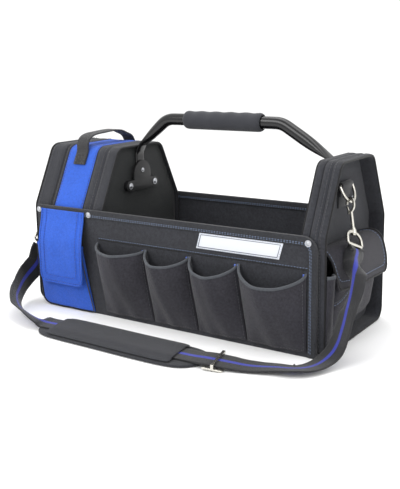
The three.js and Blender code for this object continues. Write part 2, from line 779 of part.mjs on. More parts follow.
// A snap hook hangs from a ring: a claw with a sprung gate, a stem, and a swivelling eye.
function snapHook(name, ring, slide, lean, clawTurn, eyeAlong) {
  const group = new THREE.Group();
  const axis = lean.clone().normalize();
  const onBow = ring.bar.clone().addScaledVector(ring.down, ringHeight - 1.2).add(vector(0, slide, 0));
  group.position.copy(onBow);
  const up = axis.clone().negate();
  const across = vector(Math.cos(clawTurn), Math.sin(clawTurn), 0);
  across.addScaledVector(up, -across.dot(up)).normalize();
  group.setRotationFromMatrix(new THREE.Matrix4().makeBasis(across, up.clone().cross(across), up));
  tote.add(group);
  const clawCentre = -(clawRise - hookWire / 2 - ringWire / 2 - 4 * gap);
  const flat = vector(0, 1, 0);
  const arc = [];
  const arcSteps = 14;
  const arcEnd = THREE.MathUtils.degToRad(-348);
  const arcStart = THREE.MathUtils.degToRad(-90);
  for (let i = 0; i <= arcSteps; i++) {
    const angle = mix(arcStart, arcEnd, i / arcSteps);
    arc.push(vector(clawHalf * Math.cos(angle), 0, clawCentre + clawRise * Math.sin(angle)));
  }
  const claw = wire(arc, hookWire / 2, flat, false);
  const stemTop = clawCentre - clawRise;
  const barrelTop = -(hookLength - eyeHeight - barrelLength / 2);
  const barrelFoot = barrelTop - barrelLength;
  const upright = (profile) => {
    const geometry = turned(profile);
    geometry.rotateX(Math.PI / 2);
    return geometry;
  };
  const stem = upright([
    [0, barrelFoot - 2], [2.7, barrelFoot - 2], [2.7, barrelFoot - gap], [swivelPin, barrelFoot - gap],
    [swivelPin, barrelTop + gap], [stemRadius + 0.9, barrelTop + gap], [stemRadius + 0.9, barrelTop + 2.4],
    [stemRadius, barrelTop + 4], [stemRadius, stemTop + 1.5], [0, stemTop + 1.5],
  ]);
  const pivot = vector(gatePivotReach, 0, stemTop - 1.8);
  const lug = turned([[0, -2.4], [2, -2.4], [2, 2.4], [0, 2.4]]);
  lug.translate(...pivot);
  const body = [claw, stem, lug].map(toSolid).reduce((a, b) => a.add(b));
  addNode(`hook_${name}`, fromSolid(body), "nickel", 0.3, 1, group);
  const tip = arc[arcSteps];
  const gateTop = tip.clone().add(vector(-0.2, 0, -gateRadius - 1.4));
  const reach = gateTop.clone().sub(pivot).normalize();
  const gateFoot = pivot.clone().addScaledVector(reach, 2 + gap + 0.1);
  addNode(`hook_gate_${name}`, wire([gateFoot, gateTop], gateRadius, flat, false), "nickel", 0.3, 1, group);
  const eyeDown = vector(0, 0, -1);
  const local = eyeAlong.clone().applyQuaternion(group.quaternion.clone().invert());
  local.setZ(0).normalize();
  const eyePath = placed(ringPath(eyeHalf, eyeHeight, eyeDown.clone().negate(), local, 0.5), vector(0, 0, -hookLength));
  const eyeRing = wire(eyePath, ringWire / 2, local.clone().cross(eyeDown).normalize(), true);
  const barrel = upright([[0, barrelFoot], [barrelRadius, barrelFoot], [barrelRadius, barrelTop], [0, barrelTop]]);
  const bore = upright([
    [0, barrelFoot - 6], [swivelPin + gap, barrelFoot - 6], [swivelPin + gap, barrelTop + 1], [0, barrelTop + 1],
  ]);
  const eye = toSolid(eyeRing).add(toSolid(barrel)).subtract(toSolid(bore));
  addNode(`hook_eye_${name}`, fromSolid(eye), "nickel", 0.3, 1, group);
  group.updateMatrixWorld();
  return { bar: group.localToWorld(vector(0, 0, -hookLength)), along: local.applyQuaternion(group.quaternion) };
}

// The strap's route from the right hook to the left one: place, then the direction of its width.
const strapRoute = [
  [281, -44.5, 130, -0.08, -0.89, 0.45],
  [285.5, -54.5, 126, -0.5, -0.7, 0.4],
  [289.5, -65, 121, -0.8, -0.1, 0],
  [292.5, -75.5, 114, -0.82, 0.34, -0.4],
  [294.5, -83.6, 104.6, -0.77, 0.49, -0.42],
  [295.5, -90.3, 94.3, -0.78, 0.52, -0.35],
  [295.5, -96.1, 83.6, -0.78, 0.55, -0.28],
  [295, -102.4, 71.7, -0.78, 0.6, -0.16],
  [293.5, -105.3, 58.7, -0.77, 0.63, 0.03],
  [290.5, -106.8, 45, -0.75, 0.64, 0.15],
  [287, -108.7, 30.8, -0.74, 0.65, 0.16],
  [281.5, -113.5, 17.2, -0.82, 0.57, -0.04],
  [275, -125.5, 8.4, -0.9, 0.4, -0.15],
  [268.7, -141.9, 5.2, -0.84, 0.52, -0.14],
  [261.3, -156.5, 5.4, -0.62, 0.76, -0.16],
  [253, -165.5, 6.2, -0.44, 0.88, -0.2],
  [241, -169, 5.4, -0.42, 0.89, -0.16],
  [228, -171.5, 4.6, -0.42, 0.9, -0.12],
  [210, -177.5, 3.6, -0.42, 0.9, -0.06],
  [197.5, -181.5, 3.4, -0.42, 0.9, 0],
  [185, -186, 4.4, -0.41, 0.91, 0.03],
  [174, -189.5, 5.8, -0.4, 0.91, 0.06],
  [162, -193, 7, -0.38, 0.92, 0.07],
  [149.5, -195.8, 7.9, -0.36, 0.93, 0.07],
  [136, -197.5, 8, -0.3, 0.95, 0.04],
  [120, -198.5, 7.2, -0.18, 0.98, 0],
  [90, -199, 6.8, -0.06, 1, 0],
  [45, -199.5, 6.8, 0, 1, 0],
  [0, -198.5, 6.8, -0.02, 1, 0],
  [-50, -197.5, 6.8, -0.02, 1, 0],
  [-100, -197, 6.8, 0, 1, 0],
  [-136, -197.5, 6.8, 0, 1, 0],
  [-151, -198.5, 7, 0, 1, 0],
  [-157, -200, 8.4, -0.04, 0.99, -0.08],
  [-162, -201.3, 9.6, -0.1, 0.94, -0.26],
  [-172, -201, 11.2, 0.02, 0.87, -0.45],
  [-186.5, -197.3, 12.8, 0.17, 0.78, -0.58],
  [-202.5, -192.1, 14, 0.18, 0.75, -0.63],
  [-219, -186.4, 15.8, 0.23, 0.7, -0.66],
  [-234.5, -177, 18.2, 0.24, 0.54, -0.8],
  [-249, -165.5, 21, 0.17, 0.42, -0.89],
  [-261.5, -152.5, 24, 0.05, 0.38, -0.92],
  [-269.5, -139.5, 28.5, -0.02, 0.43, -0.9],
  [-275, -126.2, 36, 0.02, 0.48, -0.87],
  [-278.5, -111, 44, 0.13, 0.55, -0.82],
  [-275, -99.6, 54, 0.22, 0.64, -0.73],
  [-270, -92, 66, 0.16, 0.76, -0.63],
];

function strapEnd(eye, next) {
  const away = vector(...next.slice(0, 3)).sub(eye.bar);
  away.addScaledVector(eye.along, -away.dot(eye.along)).normalize();
  const at = (reach) => [...eye.bar.clone().addScaledVector(away, reach), ...eye.along];
  return [at(ringWire / 2 + 1.6 * webbingThick), at(ringWire / 2 + 3.5 * webbingThick)];
}

function strapStations(count) {
  const route = [
    ...strapEnd(rightEye, strapRoute[0]), ...strapRoute,
    ...strapEnd(leftEye, strapRoute[strapRoute.length - 1]).reverse(),
  ];
  const places = new THREE.CatmullRomCurve3(route.map(([x, y, z]) => vector(x, y, z)), false, "centripetal");
  const widths = route.map((row) => vector(row[3], row[4], row[5]).normalize());
  return Array.from({ length: count + 1 }, (_, i) => {
    const t = i / count;
    const s = t * (route.length - 1);
    const k = Math.min(Math.floor(s), route.length - 2);
    return { p: places.getPoint(t), w: widths[k].clone().lerp(widths[k + 1], s - k).normalize() };
  });
}

function shoulderStrap() {
  addNode("shoulder_strap", ribbon(strapStations(76), webbingWidth, webbingThick), "webbing");
}

// The pad's middle line follows the strap between its ends.
function padLine(x) {
  const rows = strapRoute.slice().reverse();
  const i = rows.findIndex(([at]) => at > x);
  return mix(rows[i - 1][1], rows[i][1], (x - rows[i - 1][0]) / (rows[i][0] - rows[i - 1][0]));
}

function shoulderPad() {
  const steps = 16;
  const halfAt = (t, blunt) => padWidth / 2 * (1 - Math.abs(2 * t - 1) ** blunt) ** 0.5;
  const base = [];
  for (let i = 0; i <= steps; i++) {
    const t = mix(0.004, 0.996, ease(i / steps) * 0.5 + 0.5 * i / steps);
    const x = padBaseCentre + padBaseLength * (t - 0.5);
    const h = halfAt(t, 9);
    const y = padLine(x);
    base.push([[-1, 0.35], [-0.94, 0], [0.94, 0], [1, 0.35], [1, 0.65], [0.94, 1], [-0.94, 1], [-1, 0.65]]
      .map(([w, up]) => [x, y + h * w, padBaseThick * up]));
  }
  addNode("shoulder_pad_base", skin(base), "pad");
  const strapTop = padBaseThick + gap + webbingThick + gap;
  const cover = (u, v) => {
    const x = padCoverCentre + padCoverLength * (v - 0.5) - 5 * (2 * u - 1);
    const across = 2 * u - 1;
    const crown = 1 - ease(clamp01((Math.abs(across) - 0.62) / 0.3));
    const inside = mix(padBaseThick + gap, strapTop, crown);
    return [x, padLine(x) + 0.93 * padWidth / 2 * across, inside + padCoverThick * mix(0.5, 1, crown)];
  };
  const hold = ([x, y, z]) => {
    const across = Math.abs(y - padLine(x)) / (padWidth / 2);
    return [x, y, Math.max(z, across < 0.62 ? strapTop : padBaseThick + gap)];
  };
  addNode("shoulder_pad_cover", clothSheet(cover, padCoverThick, 10, 7, 1, hold), "pad");
}

// The slider frames the strap: side and end bars under it and one bar across its top.
function strapSlider() {
  const stations = strapStations(1000);
  const i = stations.findIndex((station) => station.p.x < leftFace + sliderReach);
  const { p, w } = stations[i];
  const along = stations[i + 1].p.clone().sub(stations[i - 1].p).normalize();
  const side = w.clone().addScaledVector(along, -w.dot(along)).normalize();
  const normal = along.clone().cross(side);
  const clear = webbingThick / 2 + sliderSlack;
  const half = webbingWidth / 2 + 1;
  const slab = (x0, x1, y0, y1, z0, z1) => {
    const geometry = new THREE.BoxGeometry(x1 - x0, y1 - y0, z1 - z0);
    geometry.translate((x0 + x1) / 2, (y0 + y1) / 2, (z0 + z1) / 2);
    return toSolid(geometry);
  };
  const end = sliderLength / 2;
  const under = slab(-end, end, -half - sliderBar, half + sliderBar, -clear - sliderThick, -clear)
    .subtract(slab(-end + sliderBar, end - sliderBar, -half, half, -clear - 2 * sliderThick, 0));
  const posts = [-1, 1].map((s) => slab(
    -sliderBar / 2, sliderBar / 2, Math.min(s * half, s * (half + sliderBar)),
    Math.max(s * half, s * (half + sliderBar)), -clear - sliderThick / 2, clear + sliderThick,
  ));
  const bar = slab(-sliderBar / 2, sliderBar / 2, -half - sliderBar, half + sliderBar, clear, clear + sliderThick);
  const geometry = fromSolid([...posts, bar].reduce((a, b) => a.add(b), under));
  const up = normal.z < 0 ? normal.negate() : normal;
  geometry.applyMatrix4(new THREE.Matrix4().makeBasis(up.clone().cross(side).negate(), side, up).setPosition(p));
  addNode("strap_slider", outward(geometry.attributes.position.array, Array.from(geometry.index.array)), "nickel", 0.3, 1);
}

toolCase();
rightEnd();
boundWall("front", -1);
boundWall("back", 1);
basePanel();
frontPockets();
casePocket();
frontLabel();
endPocket();
handle();
handleGrip();
bracket("left", casePanelFace, 1);
bracket("right", rightInner, -1);
endRivets();
grabLoop();
const rightRing = strapTab("right", recessFace, 1, 0, rightRingLevel, rightTabLength, rightRingLean);
const leftRing = strapTab("left", caseFace, -1, leftRingPlace, leftRingLevel, leftTabLength, leftRingLean);
const rightEye = snapHook("right", rightRing, -7, vector(19.1, -24, -55.3), 2.7, vector(-0.1, -0.92, 0.38));
const leftEye = snapHook("left", leftRing, -6, vector(2.7, -32, -55.3), 0.9, vector(0, 0.85, -0.52));
shoulderStrap();
shoulderPad();
strapSlider();

export default tote;
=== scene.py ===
# An open top tool tote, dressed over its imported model. Metres, +X to the right end, front to -Y, +Z up.
# Lengths in the place functions are millimetres, as on the maker's drawing, and MM turns them to metres.
import math

import bpy
from mathutils import Matrix, Vector, noise


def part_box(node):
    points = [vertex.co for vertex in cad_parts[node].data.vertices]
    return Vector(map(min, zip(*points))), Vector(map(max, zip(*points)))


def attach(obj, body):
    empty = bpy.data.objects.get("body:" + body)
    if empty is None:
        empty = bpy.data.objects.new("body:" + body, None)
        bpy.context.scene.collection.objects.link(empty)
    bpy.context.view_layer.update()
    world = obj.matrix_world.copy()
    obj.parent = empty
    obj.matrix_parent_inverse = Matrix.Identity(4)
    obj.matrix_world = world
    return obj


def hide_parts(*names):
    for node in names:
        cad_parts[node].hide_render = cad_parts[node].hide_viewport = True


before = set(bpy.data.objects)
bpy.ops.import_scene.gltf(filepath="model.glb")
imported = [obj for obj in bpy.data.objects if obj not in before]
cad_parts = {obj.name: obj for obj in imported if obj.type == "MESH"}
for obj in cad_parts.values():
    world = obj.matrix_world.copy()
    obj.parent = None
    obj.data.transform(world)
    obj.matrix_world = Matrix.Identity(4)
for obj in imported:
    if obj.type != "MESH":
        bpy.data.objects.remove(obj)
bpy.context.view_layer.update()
MM = 0.001

# The photograph looks from the front right corner, a little above the handle, through a long lens.
# The tote stands on a white sweep of paper, and large soft lights hang over it and beside it.
camera_azimuth = math.radians(33.87)
camera_height = math.radians(11.41)
camera_roll = math.radians(-0.92)
camera_distance = 1.2834
aim = Vector((0, 0, 0.15))
away = Vector((
    math.sin(camera_azimuth) * math.cos(camera_height),
    -math.cos(camera_azimuth) * math.cos(camera_height),
    math.sin(camera_height),
))
bpy.ops.object.camera_add(location=aim + camera_distance * away)
camera = bpy.context.object
facing = away.to_track_quat("Z", "Y").to_matrix() @ Matrix.Rotation(camera_roll, 3, "Z")
camera.rotation_euler = facing.to_euler()
camera.data.lens = 59.88
camera.data.shift_x = -0.0011
camera.data.shift_y = -0.0561
bpy.context.scene.camera = camera

bpy.ops.mesh.primitive_plane_add(size=9, location=(0, 0, 0))
sweep = bpy.context.object
sweep.name = "paper_sweep"
paper = bpy.data.materials.new("white_paper")
paper.use_nodes = True
paper.node_tree.nodes["Principled BSDF"].inputs["Base Color"].default_value = (0.93, 0.93, 0.93, 1)
paper.node_tree.nodes["Principled BSDF"].inputs["Roughness"].default_value = 0.9
paper.node_tree.nodes["Principled BSDF"].inputs["Specular IOR Level"].default_value = 0.1
sweep.data.materials.append(paper)

world = bpy.data.worlds.new("studio")
world.use_nodes = True
world.node_tree.nodes["Background"].inputs["Color"].default_value = (1, 1, 1, 1)
world.node_tree.nodes["Background"].inputs["Strength"].default_value = 1.1
bpy.context.scene.world = world
bpy.context.scene.view_settings.view_transform = "Standard"


def soft_light(name, place, look_at, width, height, power):
    """A rectangular soft box hung at a place and turned to a point."""
    bpy.ops.object.light_add(type="AREA", location=place)
    lamp = bpy.context.object
    lamp.name = name
    lamp.rotation_euler = (Vector(place) - Vector(look_at)).to_track_quat("Z", "Y").to_euler()
    lamp.data.shape = "RECTANGLE"
    lamp.data.size = width
    lamp.data.size_y = height
    lamp.data.energy = power


soft_light("key_light", (-0.5, -1.7, 1.5), (0, 0, 0.1), 1.6, 1.1, 25)
soft_light("top_light", (0.1, 0.3, 1.7), (0, 0, 0.1), 1.8, 0.9, 14)
soft_light("side_light", (1.8, -0.3, 0.9), (0.2, 0, 0.1), 1.0, 1.2, 7)


class Field:
    """A value or colour that changes over a surface. Python's operators add Math nodes to it."""

    def __init__(self, finish, socket):
        self.finish = finish
        self.socket = socket

    def math(self, operation, *others):
        inputs = dict(enumerate((self, *others)))
        return self.finish.node("ShaderNodeMath", {"operation": operation}, inputs)

    def __add__(self, other):
        return self.math("ADD", other)

    def __sub__(self, other):
        return self.math("SUBTRACT", other)

    def __mul__(self, other):
        return self.math("MULTIPLY", other)

    def __truediv__(self, other):
        return self.math("DIVIDE", other)

    def __rsub__(self, other):
        return (self * -1) + other

    def __gt__(self, other):
        return self.math("GREATER_THAN", other)

    def __lt__(self, other):
        return self.math("LESS_THAN", other)

    __radd__ = __add__
    __rmul__ = __mul__


class Finish:
    """A material built node by node, ending at its one surface shader."""

    def __init__(self, name, **plain):
        self.material = bpy.data.materials.new(name)
        self.material.use_nodes = True
        self.tree = self.material.node_tree
        self.surface = self.tree.nodes["Principled BSDF"]
        for socket, value in plain.items():
            self.surface.inputs[socket.replace("_", " ")].default_value = value

    def feed(self, socket, value):
        if isinstance(value, Field):
            self.tree.links.new(value.socket, socket)
        else:
            socket.default_value = value

    def node(self, kind, settings=None, inputs=None, output=0):
        made = self.tree.nodes.new(kind)
        for name, value in (settings or {}).items():
            if name == "stops":
                for place, shade in value[2:]:
                    made.color_ramp.elements.new(place)
                for stop, (place, shade) in zip(made.color_ramp.elements, value):
                    stop.position = place
                    stop.color = (*shade, 1) if len(shade) == 3 else shade
            else:
                setattr(made, name, value)
        for name, value in (inputs or {}).items():
            self.feed(made.inputs[name], value)
        if isinstance(output, tuple):
            return [Field(self, made.outputs[name]) for name in output]
        return Field(self, made.outputs[output])

    def mixed(self, share, a, b):
        settings = {"data_type": "RGBA", "clamp_factor": True}
        return self.node("ShaderNodeMix", settings, {0: share, 6: a, 7: b}, output=2)

    def place(self):
        return self.node("ShaderNodeTexCoord", output="Object")

    def grain(self, place, scale, detail=2.0, roughness=0.5):
        inputs = {"Vector": place, "Scale": scale, "Detail": detail, "Roughness": roughness}
        return self.node("ShaderNodeTexNoise", None, inputs)

    def raised(self, height, distance, strength=1.0, under=None):
        inputs = {"Height": height, "Distance": distance, "Strength": strength}
        if under is not None:
            inputs["Normal"] = under
        return self.node("ShaderNodeBump", None, inputs)

    def done(self, **fields):
        for socket, value in fields.items():
            self.feed(self.surface.inputs[socket.replace("_", " ")], value)
        return self.material


def rgb(red, green, blue, lift=1.0):
    """A screen colour of 0 to 255 as the shader's linear colour."""
    def linear(c):
        c = c / 255
        return c / 12.92 if c <= 0.04045 else ((c + 0.055) / 1.055) ** 2.4
    return tuple(min(1.0, lift * linear(c)) for c in (red, green, blue)) + (1.0,)


def woven(name, colour, pitch=1.1, rough=0.85, relief=0.22, worn=0.32, sheen=0.12):
    """Plain woven cloth: threads crossing over and under, a little fuzz, and an uneven dye."""
    finish = Finish(name, Sheen_Weight=sheen, Sheen_Roughness=0.5, Specular_IOR_Level=0.25)
    place = finish.place()
    x, y, z = finish.node("ShaderNodeSeparateXYZ", None, {0: place}, output=("X", "Y", "Z"))
    turned = finish.node("ShaderNodeTexCoord", output="Normal")
    nx, _, nz = finish.node("ShaderNodeSeparateXYZ", None, {0: turned}, output=("X", "Y", "Z"))
    sideways = nx.math("ABSOLUTE") > 0.75
    flat = nz.math("ABSOLUTE") > 0.75
    across = x + sideways * (y - x)
    along = z + flat * (y - z)
    turn = 2 * math.pi / (pitch * MM)
    warp = (across * turn).math("SINE")
    weft = (along * turn).math("SINE")
    cross = warp * weft
    fuzz = finish.grain(place, 900, 3.0, 0.6)
    broad = finish.grain(place, 26, 3.0, 0.55)
    height = cross * 0.6 + fuzz * 0.8
    dark = tuple(c * (1 - worn) for c in colour[:3]) + (1.0,)
    light = tuple(min(1, c * (1 + worn)) for c in colour[:3]) + (1.0,)
    speck = finish.grain(place, 300, 2.0, 0.7)
    tint = finish.mixed(cross * 0.2 + broad * 0.8 + speck * 2.2 - 1.0, dark, light)
    soft = finish.raised(broad, 0.0016, 0.55)
    return finish.done(
        Base_Color=tint,
        Roughness=fuzz * 0.2 + (rough - 0.1),
        Normal=finish.raised(height, relief * MM, 0.9, soft),
    )


charcoal = woven("charcoal_cloth", rgb(43, 44, 49))
pocket_grey = woven("pocket_cloth", rgb(43, 42, 48))
# The lining is a dark cloth of its own, and its colour is darkened further as painted shade for the tote's
# shaded interior and floor.
dark_lining_and_painted_shade = woven("inner_cloth", rgb(20, 23, 24), rough=0.6, worn=0.1)
blue = woven("blue_cloth", rgb(43, 86, 184), worn=0.14, sheen=0.1)
pad_grey = woven("pad_cloth", rgb(39, 40, 45), pitch=0.9)


def bare():
    """Leaves edit mode with nothing selected."""
    if bpy.context.object and bpy.context.object.mode != "OBJECT":
        bpy.ops.object.mode_set(mode="OBJECT")
    bpy.ops.object.select_all(action="DESELECT")


def only(piece):
    bare()
    piece.select_set(True)
    bpy.context.view_layer.objects.active = piece
    return piece


def worked(piece, kind, **settings):
    """Adds one modifier with its settings and applies it."""
    only(piece)
    bpy.ops.object.modifier_add(type=kind)
    modifier = piece.modifiers[-1]
    for name, value in settings.items():
        setattr(modifier, name, value)
    bpy.ops.object.modifier_apply(modifier=modifier.name)
    return piece


def smoothed(piece, angle=40):
    only(piece)
    bpy.ops.object.shade_smooth_by_angle(angle=math.radians(angle))
    return piece


def dressed(piece, finish, slot, *nodes, body="tote"):
    """Gives a finished piece its material and its body, and hides the plain solids it stands for. The slot is
    not used.
    """
    piece.data.materials.clear()
    piece.data.materials.append(finish)
    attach(piece, body)
    if nodes:
        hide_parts(*nodes)
    return piece


def flow_at(points, share):
    """The point at a share of a smooth line through the given points, which need not be even."""
    full = [2 * points[0] - points[1], *points, 2 * points[-1] - points[-2]]
    spot = share * (len(points) - 1)
    k = min(int(spot), len(points) - 2)
    t = spot - k
    a, b, c, d = full[k:k + 4]
    ab, bc, cd = (max((q - p).length, 1e-9) ** 0.5 for p, q in ((a, b), (b, c), (c, d)))
    leave = ((b - a) / ab - (c - a) / (ab + bc) + (c - b) / bc) * bc
    arrive = ((c - b) / bc - (d - b) / (bc + cd) + (d - c) / cd) * bc
    return (
        b * (2 * t ** 3 - 3 * t ** 2 + 1) + leave * (t ** 3 - 2 * t ** 2 + t)
        + c * (3 * t ** 2 - 2 * t ** 3) + arrive * (t ** 3 - t ** 2)
    )


def laid_grid(name, across, along, place):
    """A flat grid whose points are carried to place(u, v), with u across it and v along it."""
    bare()
    bpy.ops.mesh.primitive_grid_add(x_subdivisions=across, y_subdivisions=along, size=2)
    piece = bpy.context.object
    piece.name = name
    for point in piece.data.vertices:
        point.co = MM * Vector(place((point.co.x + 1) / 2, (point.co.y + 1) / 2))
    return piece


def mix(a, b, t):
    return a + (b - a) * t


def ease(t):
    t = min(1, max(0, t))
    return t * t * (3 - 2 * t)


# The shoulder strap is one length of 38 mm webbing, black with a blue stripe woven along its middle.
# It runs from the right hook's eye down to the floor, under the pad and round to the left hook's eye.
strap_width = 38
strap_thick = 2.2
strap_route = [
    (0.2762, -0.0330, 0.1387), (0.2779, -0.0345, 0.1352), (0.2810, -0.0445, 0.1300),
    (0.2855, -0.0545, 0.1260), (0.2895, -0.0650, 0.1210), (0.2925, -0.0755, 0.1140),
    (0.2945, -0.0836, 0.1046), (0.2955, -0.0903, 0.0943), (0.2955, -0.0961, 0.0836),
    (0.2950, -0.1024, 0.0717), (0.2935, -0.1053, 0.0587), (0.2905, -0.1068, 0.0450),
    (0.2870, -0.1087, 0.0308), (0.2815, -0.1135, 0.0172), (0.2750, -0.1255, 0.0084),
    (0.2687, -0.1419, 0.0052), (0.2613, -0.1565, 0.0054), (0.2530, -0.1655, 0.0062),
    (0.2410, -0.1690, 0.0054), (0.2280, -0.1715, 0.0046), (0.2100, -0.1775, 0.0036),
    (0.1975, -0.1815, 0.0034), (0.1850, -0.1860, 0.0044), (0.1740, -0.1895, 0.0058),
    (0.1620, -0.1930, 0.0070), (0.1495, -0.1958, 0.0079), (0.1360, -0.1975, 0.0080),
    (0.1200, -0.1985, 0.0072), (0.0900, -0.1990, 0.0068), (0.0450, -0.1995, 0.0068),
    (0.0000, -0.1985, 0.0068), (-0.0500, -0.1975, 0.0068), (-0.1000, -0.1970, 0.0068),
    (-0.1360, -0.1975, 0.0068), (-0.1510, -0.1985, 0.0070), (-0.1570, -0.2000, 0.0084),
    (-0.1620, -0.2013, 0.0096), (-0.1720, -0.2010, 0.0112), (-0.1865, -0.1973, 0.0128),
    (-0.2025, -0.1921, 0.0140), (-0.2190, -0.1864, 0.0158), (-0.2345, -0.1770, 0.0182),
    (-0.2490, -0.1655, 0.0210), (-0.2615, -0.1525, 0.0240), (-0.2695, -0.1395, 0.0285),
    (-0.2750, -0.1262, 0.0360), (-0.2785, -0.1110, 0.0440), (-0.2750, -0.0996, 0.0540),
    (-0.2700, -0.0920, 0.0660), (-0.2653, -0.0902, 0.0869), (-0.2643, -0.0882, 0.0904),
]
# The way its width lies at those places.
strap_lay = [
    (-0.10, -0.93, 0.37), (-0.10, -0.93, 0.37), (-0.08, -0.89, 0.45), (-0.50, -0.70, 0.40),
    (-0.80, -0.10, 0.00), (-0.82, 0.34, -0.40), (-0.77, 0.49, -0.42), (-0.78, 0.52, -0.35),
    (-0.78, 0.55, -0.28), (-0.78, 0.60, -0.16), (-0.77, 0.63, 0.03), (-0.75, 0.64, 0.15),
    (-0.74, 0.65, 0.16), (-0.82, 0.57, -0.04), (-0.90, 0.40, -0.15), (-0.84, 0.52, -0.14),
    (-0.62, 0.76, -0.16), (-0.44, 0.88, -0.20), (-0.42, 0.89, -0.16), (-0.42, 0.90, -0.12),
    (-0.42, 0.90, -0.06), (-0.42, 0.90, 0.00), (-0.41, 0.91, 0.03), (-0.40, 0.91, 0.06),
    (-0.38, 0.92, 0.07), (-0.36, 0.93, 0.07), (-0.30, 0.95, 0.04), (-0.18, 0.98, 0.00),
    (-0.06, 1.00, 0.00), (0.00, 1.00, 0.00), (-0.02, 1.00, 0.00), (-0.02, 1.00, 0.00),
    (0.00, 1.00, 0.00), (0.00, 1.00, 0.00), (0.00, 1.00, 0.00), (-0.04, 0.99, -0.08),
    (-0.10, 0.94, -0.26), (0.02, 0.87, -0.45), (0.17, 0.78, -0.58), (0.18, 0.75, -0.63),
    (0.23, 0.70, -0.66), (0.24, 0.54, -0.80), (0.17, 0.42, -0.89), (0.05, 0.38, -0.92),
    (-0.02, 0.43, -0.90), (0.02, 0.48, -0.87), (0.13, 0.55, -0.82), (0.22, 0.64, -0.73),
    (0.16, 0.76, -0.63), (-0.00, 0.87, -0.50), (-0.00, 0.87, -0.50),
]
route_points = [Vector(p) / MM for p in strap_route]
lay_points = [Vector(w) for w in strap_lay]


def strap_station(share):
    """The strap's middle, its width's direction and its face's direction at a share of its route."""
    middle = flow_at(route_points, share)
    onward = flow_at(route_points, min(1, share + 1e-4)) - flow_at(route_points, max(0, share - 1e-4))
    onward.normalize()
    spot = share * (len(lay_points) - 1)
    k = min(int(spot), len(lay_points) - 2)
    side = lay_points[k].lerp(lay_points[k + 1], spot - k)
    side = (side - onward * side.dot(onward)).normalized()
    return middle, side, side.cross(onward)


def webbing(name, stripe=None):
    """Flat webbing, ribbed across, read along its own UV map. A stripe is [middle, half width, colour]."""
    finish = Finish(name, Sheen_Weight=0.2, Specular_IOR_Level=0.3)
    ways = finish.node("ShaderNodeTexCoord", output="UV")
    u, v, w = finish.node("ShaderNodeSeparateXYZ", None, {0: ways}, output=("X", "Y", "Z"))
    ribs = (v * 2 * math.pi * 620).math("SINE")
    rows = (u * 2 * math.pi * 22).math("SINE")
    fuzz = finish.grain(finish.place(), 700, 3.0, 0.6)
    black = finish.mixed(fuzz, rgb(10, 10, 12), rgb(36, 36, 40))
    shade = black
    if stripe:
        middle, half, colour = stripe
        inside = (u - middle).math("ABSOLUTE") < half
        dark = tuple(0.55 * c for c in colour[:3]) + (1.0,)
        shade = finish.mixed(inside, black, finish.mixed(ribs * 0.3 + 0.7, dark, colour))
    relief = finish.raised(ribs * rows * 0.5 + fuzz * 0.5, 0.0003, 0.8)
    return finish.done(Base_Color=shade, Roughness=fuzz * 0.2 + 0.62, Normal=relief)


striped = webbing("strap_webbing", [0.5, 0.085, rgb(44, 54, 160)])
plain_webbing = webbing("plain_webbing")


def on_strap(u, v):
    """The strap's outer face. Where it turns off its right eye, its two edges curl back."""
    middle, side, face = strap_station(v)
    crown = 0.25 * (1 - (2 * u - 1) ** 2)
    curl = 1.5 * ease((v - 0.012) / 0.04) * ease((0.2 - v) / 0.09) + 1e-4
    radius = strap_width / 2 / curl
    bend = curl * (2 * u - 1)
    folded = side * radius * math.sin(bend) - face * radius * (1 - math.cos(bend))
    return middle + folded + face * (strap_thick / 2 + crown)


strap = laid_grid("strap_webbing_length", 10, 420, on_strap)
worked(strap, "SOLIDIFY", thickness=strap_thick * MM, offset=-1)
worked(strap, "BEVEL", width=0.5 * MM, segments=2, limit_method="ANGLE", angle_limit=math.radians(50))
smoothed(strap, 50)
dressed(strap, striped, "webbing", "shoulder_strap")
strap_path = [list(MM * strap_station(i / 200)[0]) for i in range(201)]


# Thread is laid in single stitches, each a small hump of the same length, one after another.
def thread(name, colour):
    finish = Finish(name, Roughness=0.6, Sheen_Weight=0.3)
    twist = finish.grain(finish.place(), 1400, 1.0)
    return finish.done(Base_Color=finish.mixed(twist, tuple(0.7 * c for c in colour[:3]) + (1.0,), colour))


grey_thread = thread("grey_thread", rgb(112, 132, 166))
dark_thread = thread("dark_thread", rgb(50, 51, 56))
blue_thread = thread("blue_thread", rgb(70, 116, 226))
navy_thread = thread("navy_thread", rgb(20, 44, 120))


def sewn(name, path, finish, slot, stitch=3.4, pause=1.3, thick=0.55):
    """A row of stitches along a path of points in millimetres."""
    bare()
    bpy.ops.mesh.primitive_uv_sphere_add(segments=6, ring_count=4, radius=1)
    hump = bpy.context.object
    corners = [point.co.copy() for point in hump.data.vertices]
    sides = [list(face.vertices) for face in hump.data.polygons]
    bpy.ops.object.delete()
    path = [Vector(p) for p in path]
    travelled = [0.0]
    for a, b in zip(path, path[1:]):
        travelled.append(travelled[-1] + (b - a).length)
    points = []
    faces = []
    at = pause
    k = 0
    while at + stitch < travelled[-1]:
        ends = []
        for goal in (at, at + stitch):
            while travelled[k + 1] < goal:
                k += 1
            t = (goal - travelled[k]) / (travelled[k + 1] - travelled[k])
            ends.append(path[k].lerp(path[k + 1], t))
        run = ends[1] - ends[0]
        turn = run.to_track_quat("X", "Z").to_matrix()
        first = len(points)
        for c in corners:
            shaped = Vector((c.x * run.length / 2, c.y * thick, c.z * thick * 0.8))
            points.append(MM * ((ends[0] + ends[1]) / 2 + turn @ shaped))
        faces += [[first + i for i in side] for side in sides]
        at += stitch + pause
    mesh = bpy.data.meshes.new(name)
    mesh.from_pydata(points, [], faces)
    piece = bpy.data.objects.new(name, mesh)
    bpy.context.collection.objects.link(piece)
    smoothed(piece, 80)
    return dressed(piece, finish, slot)


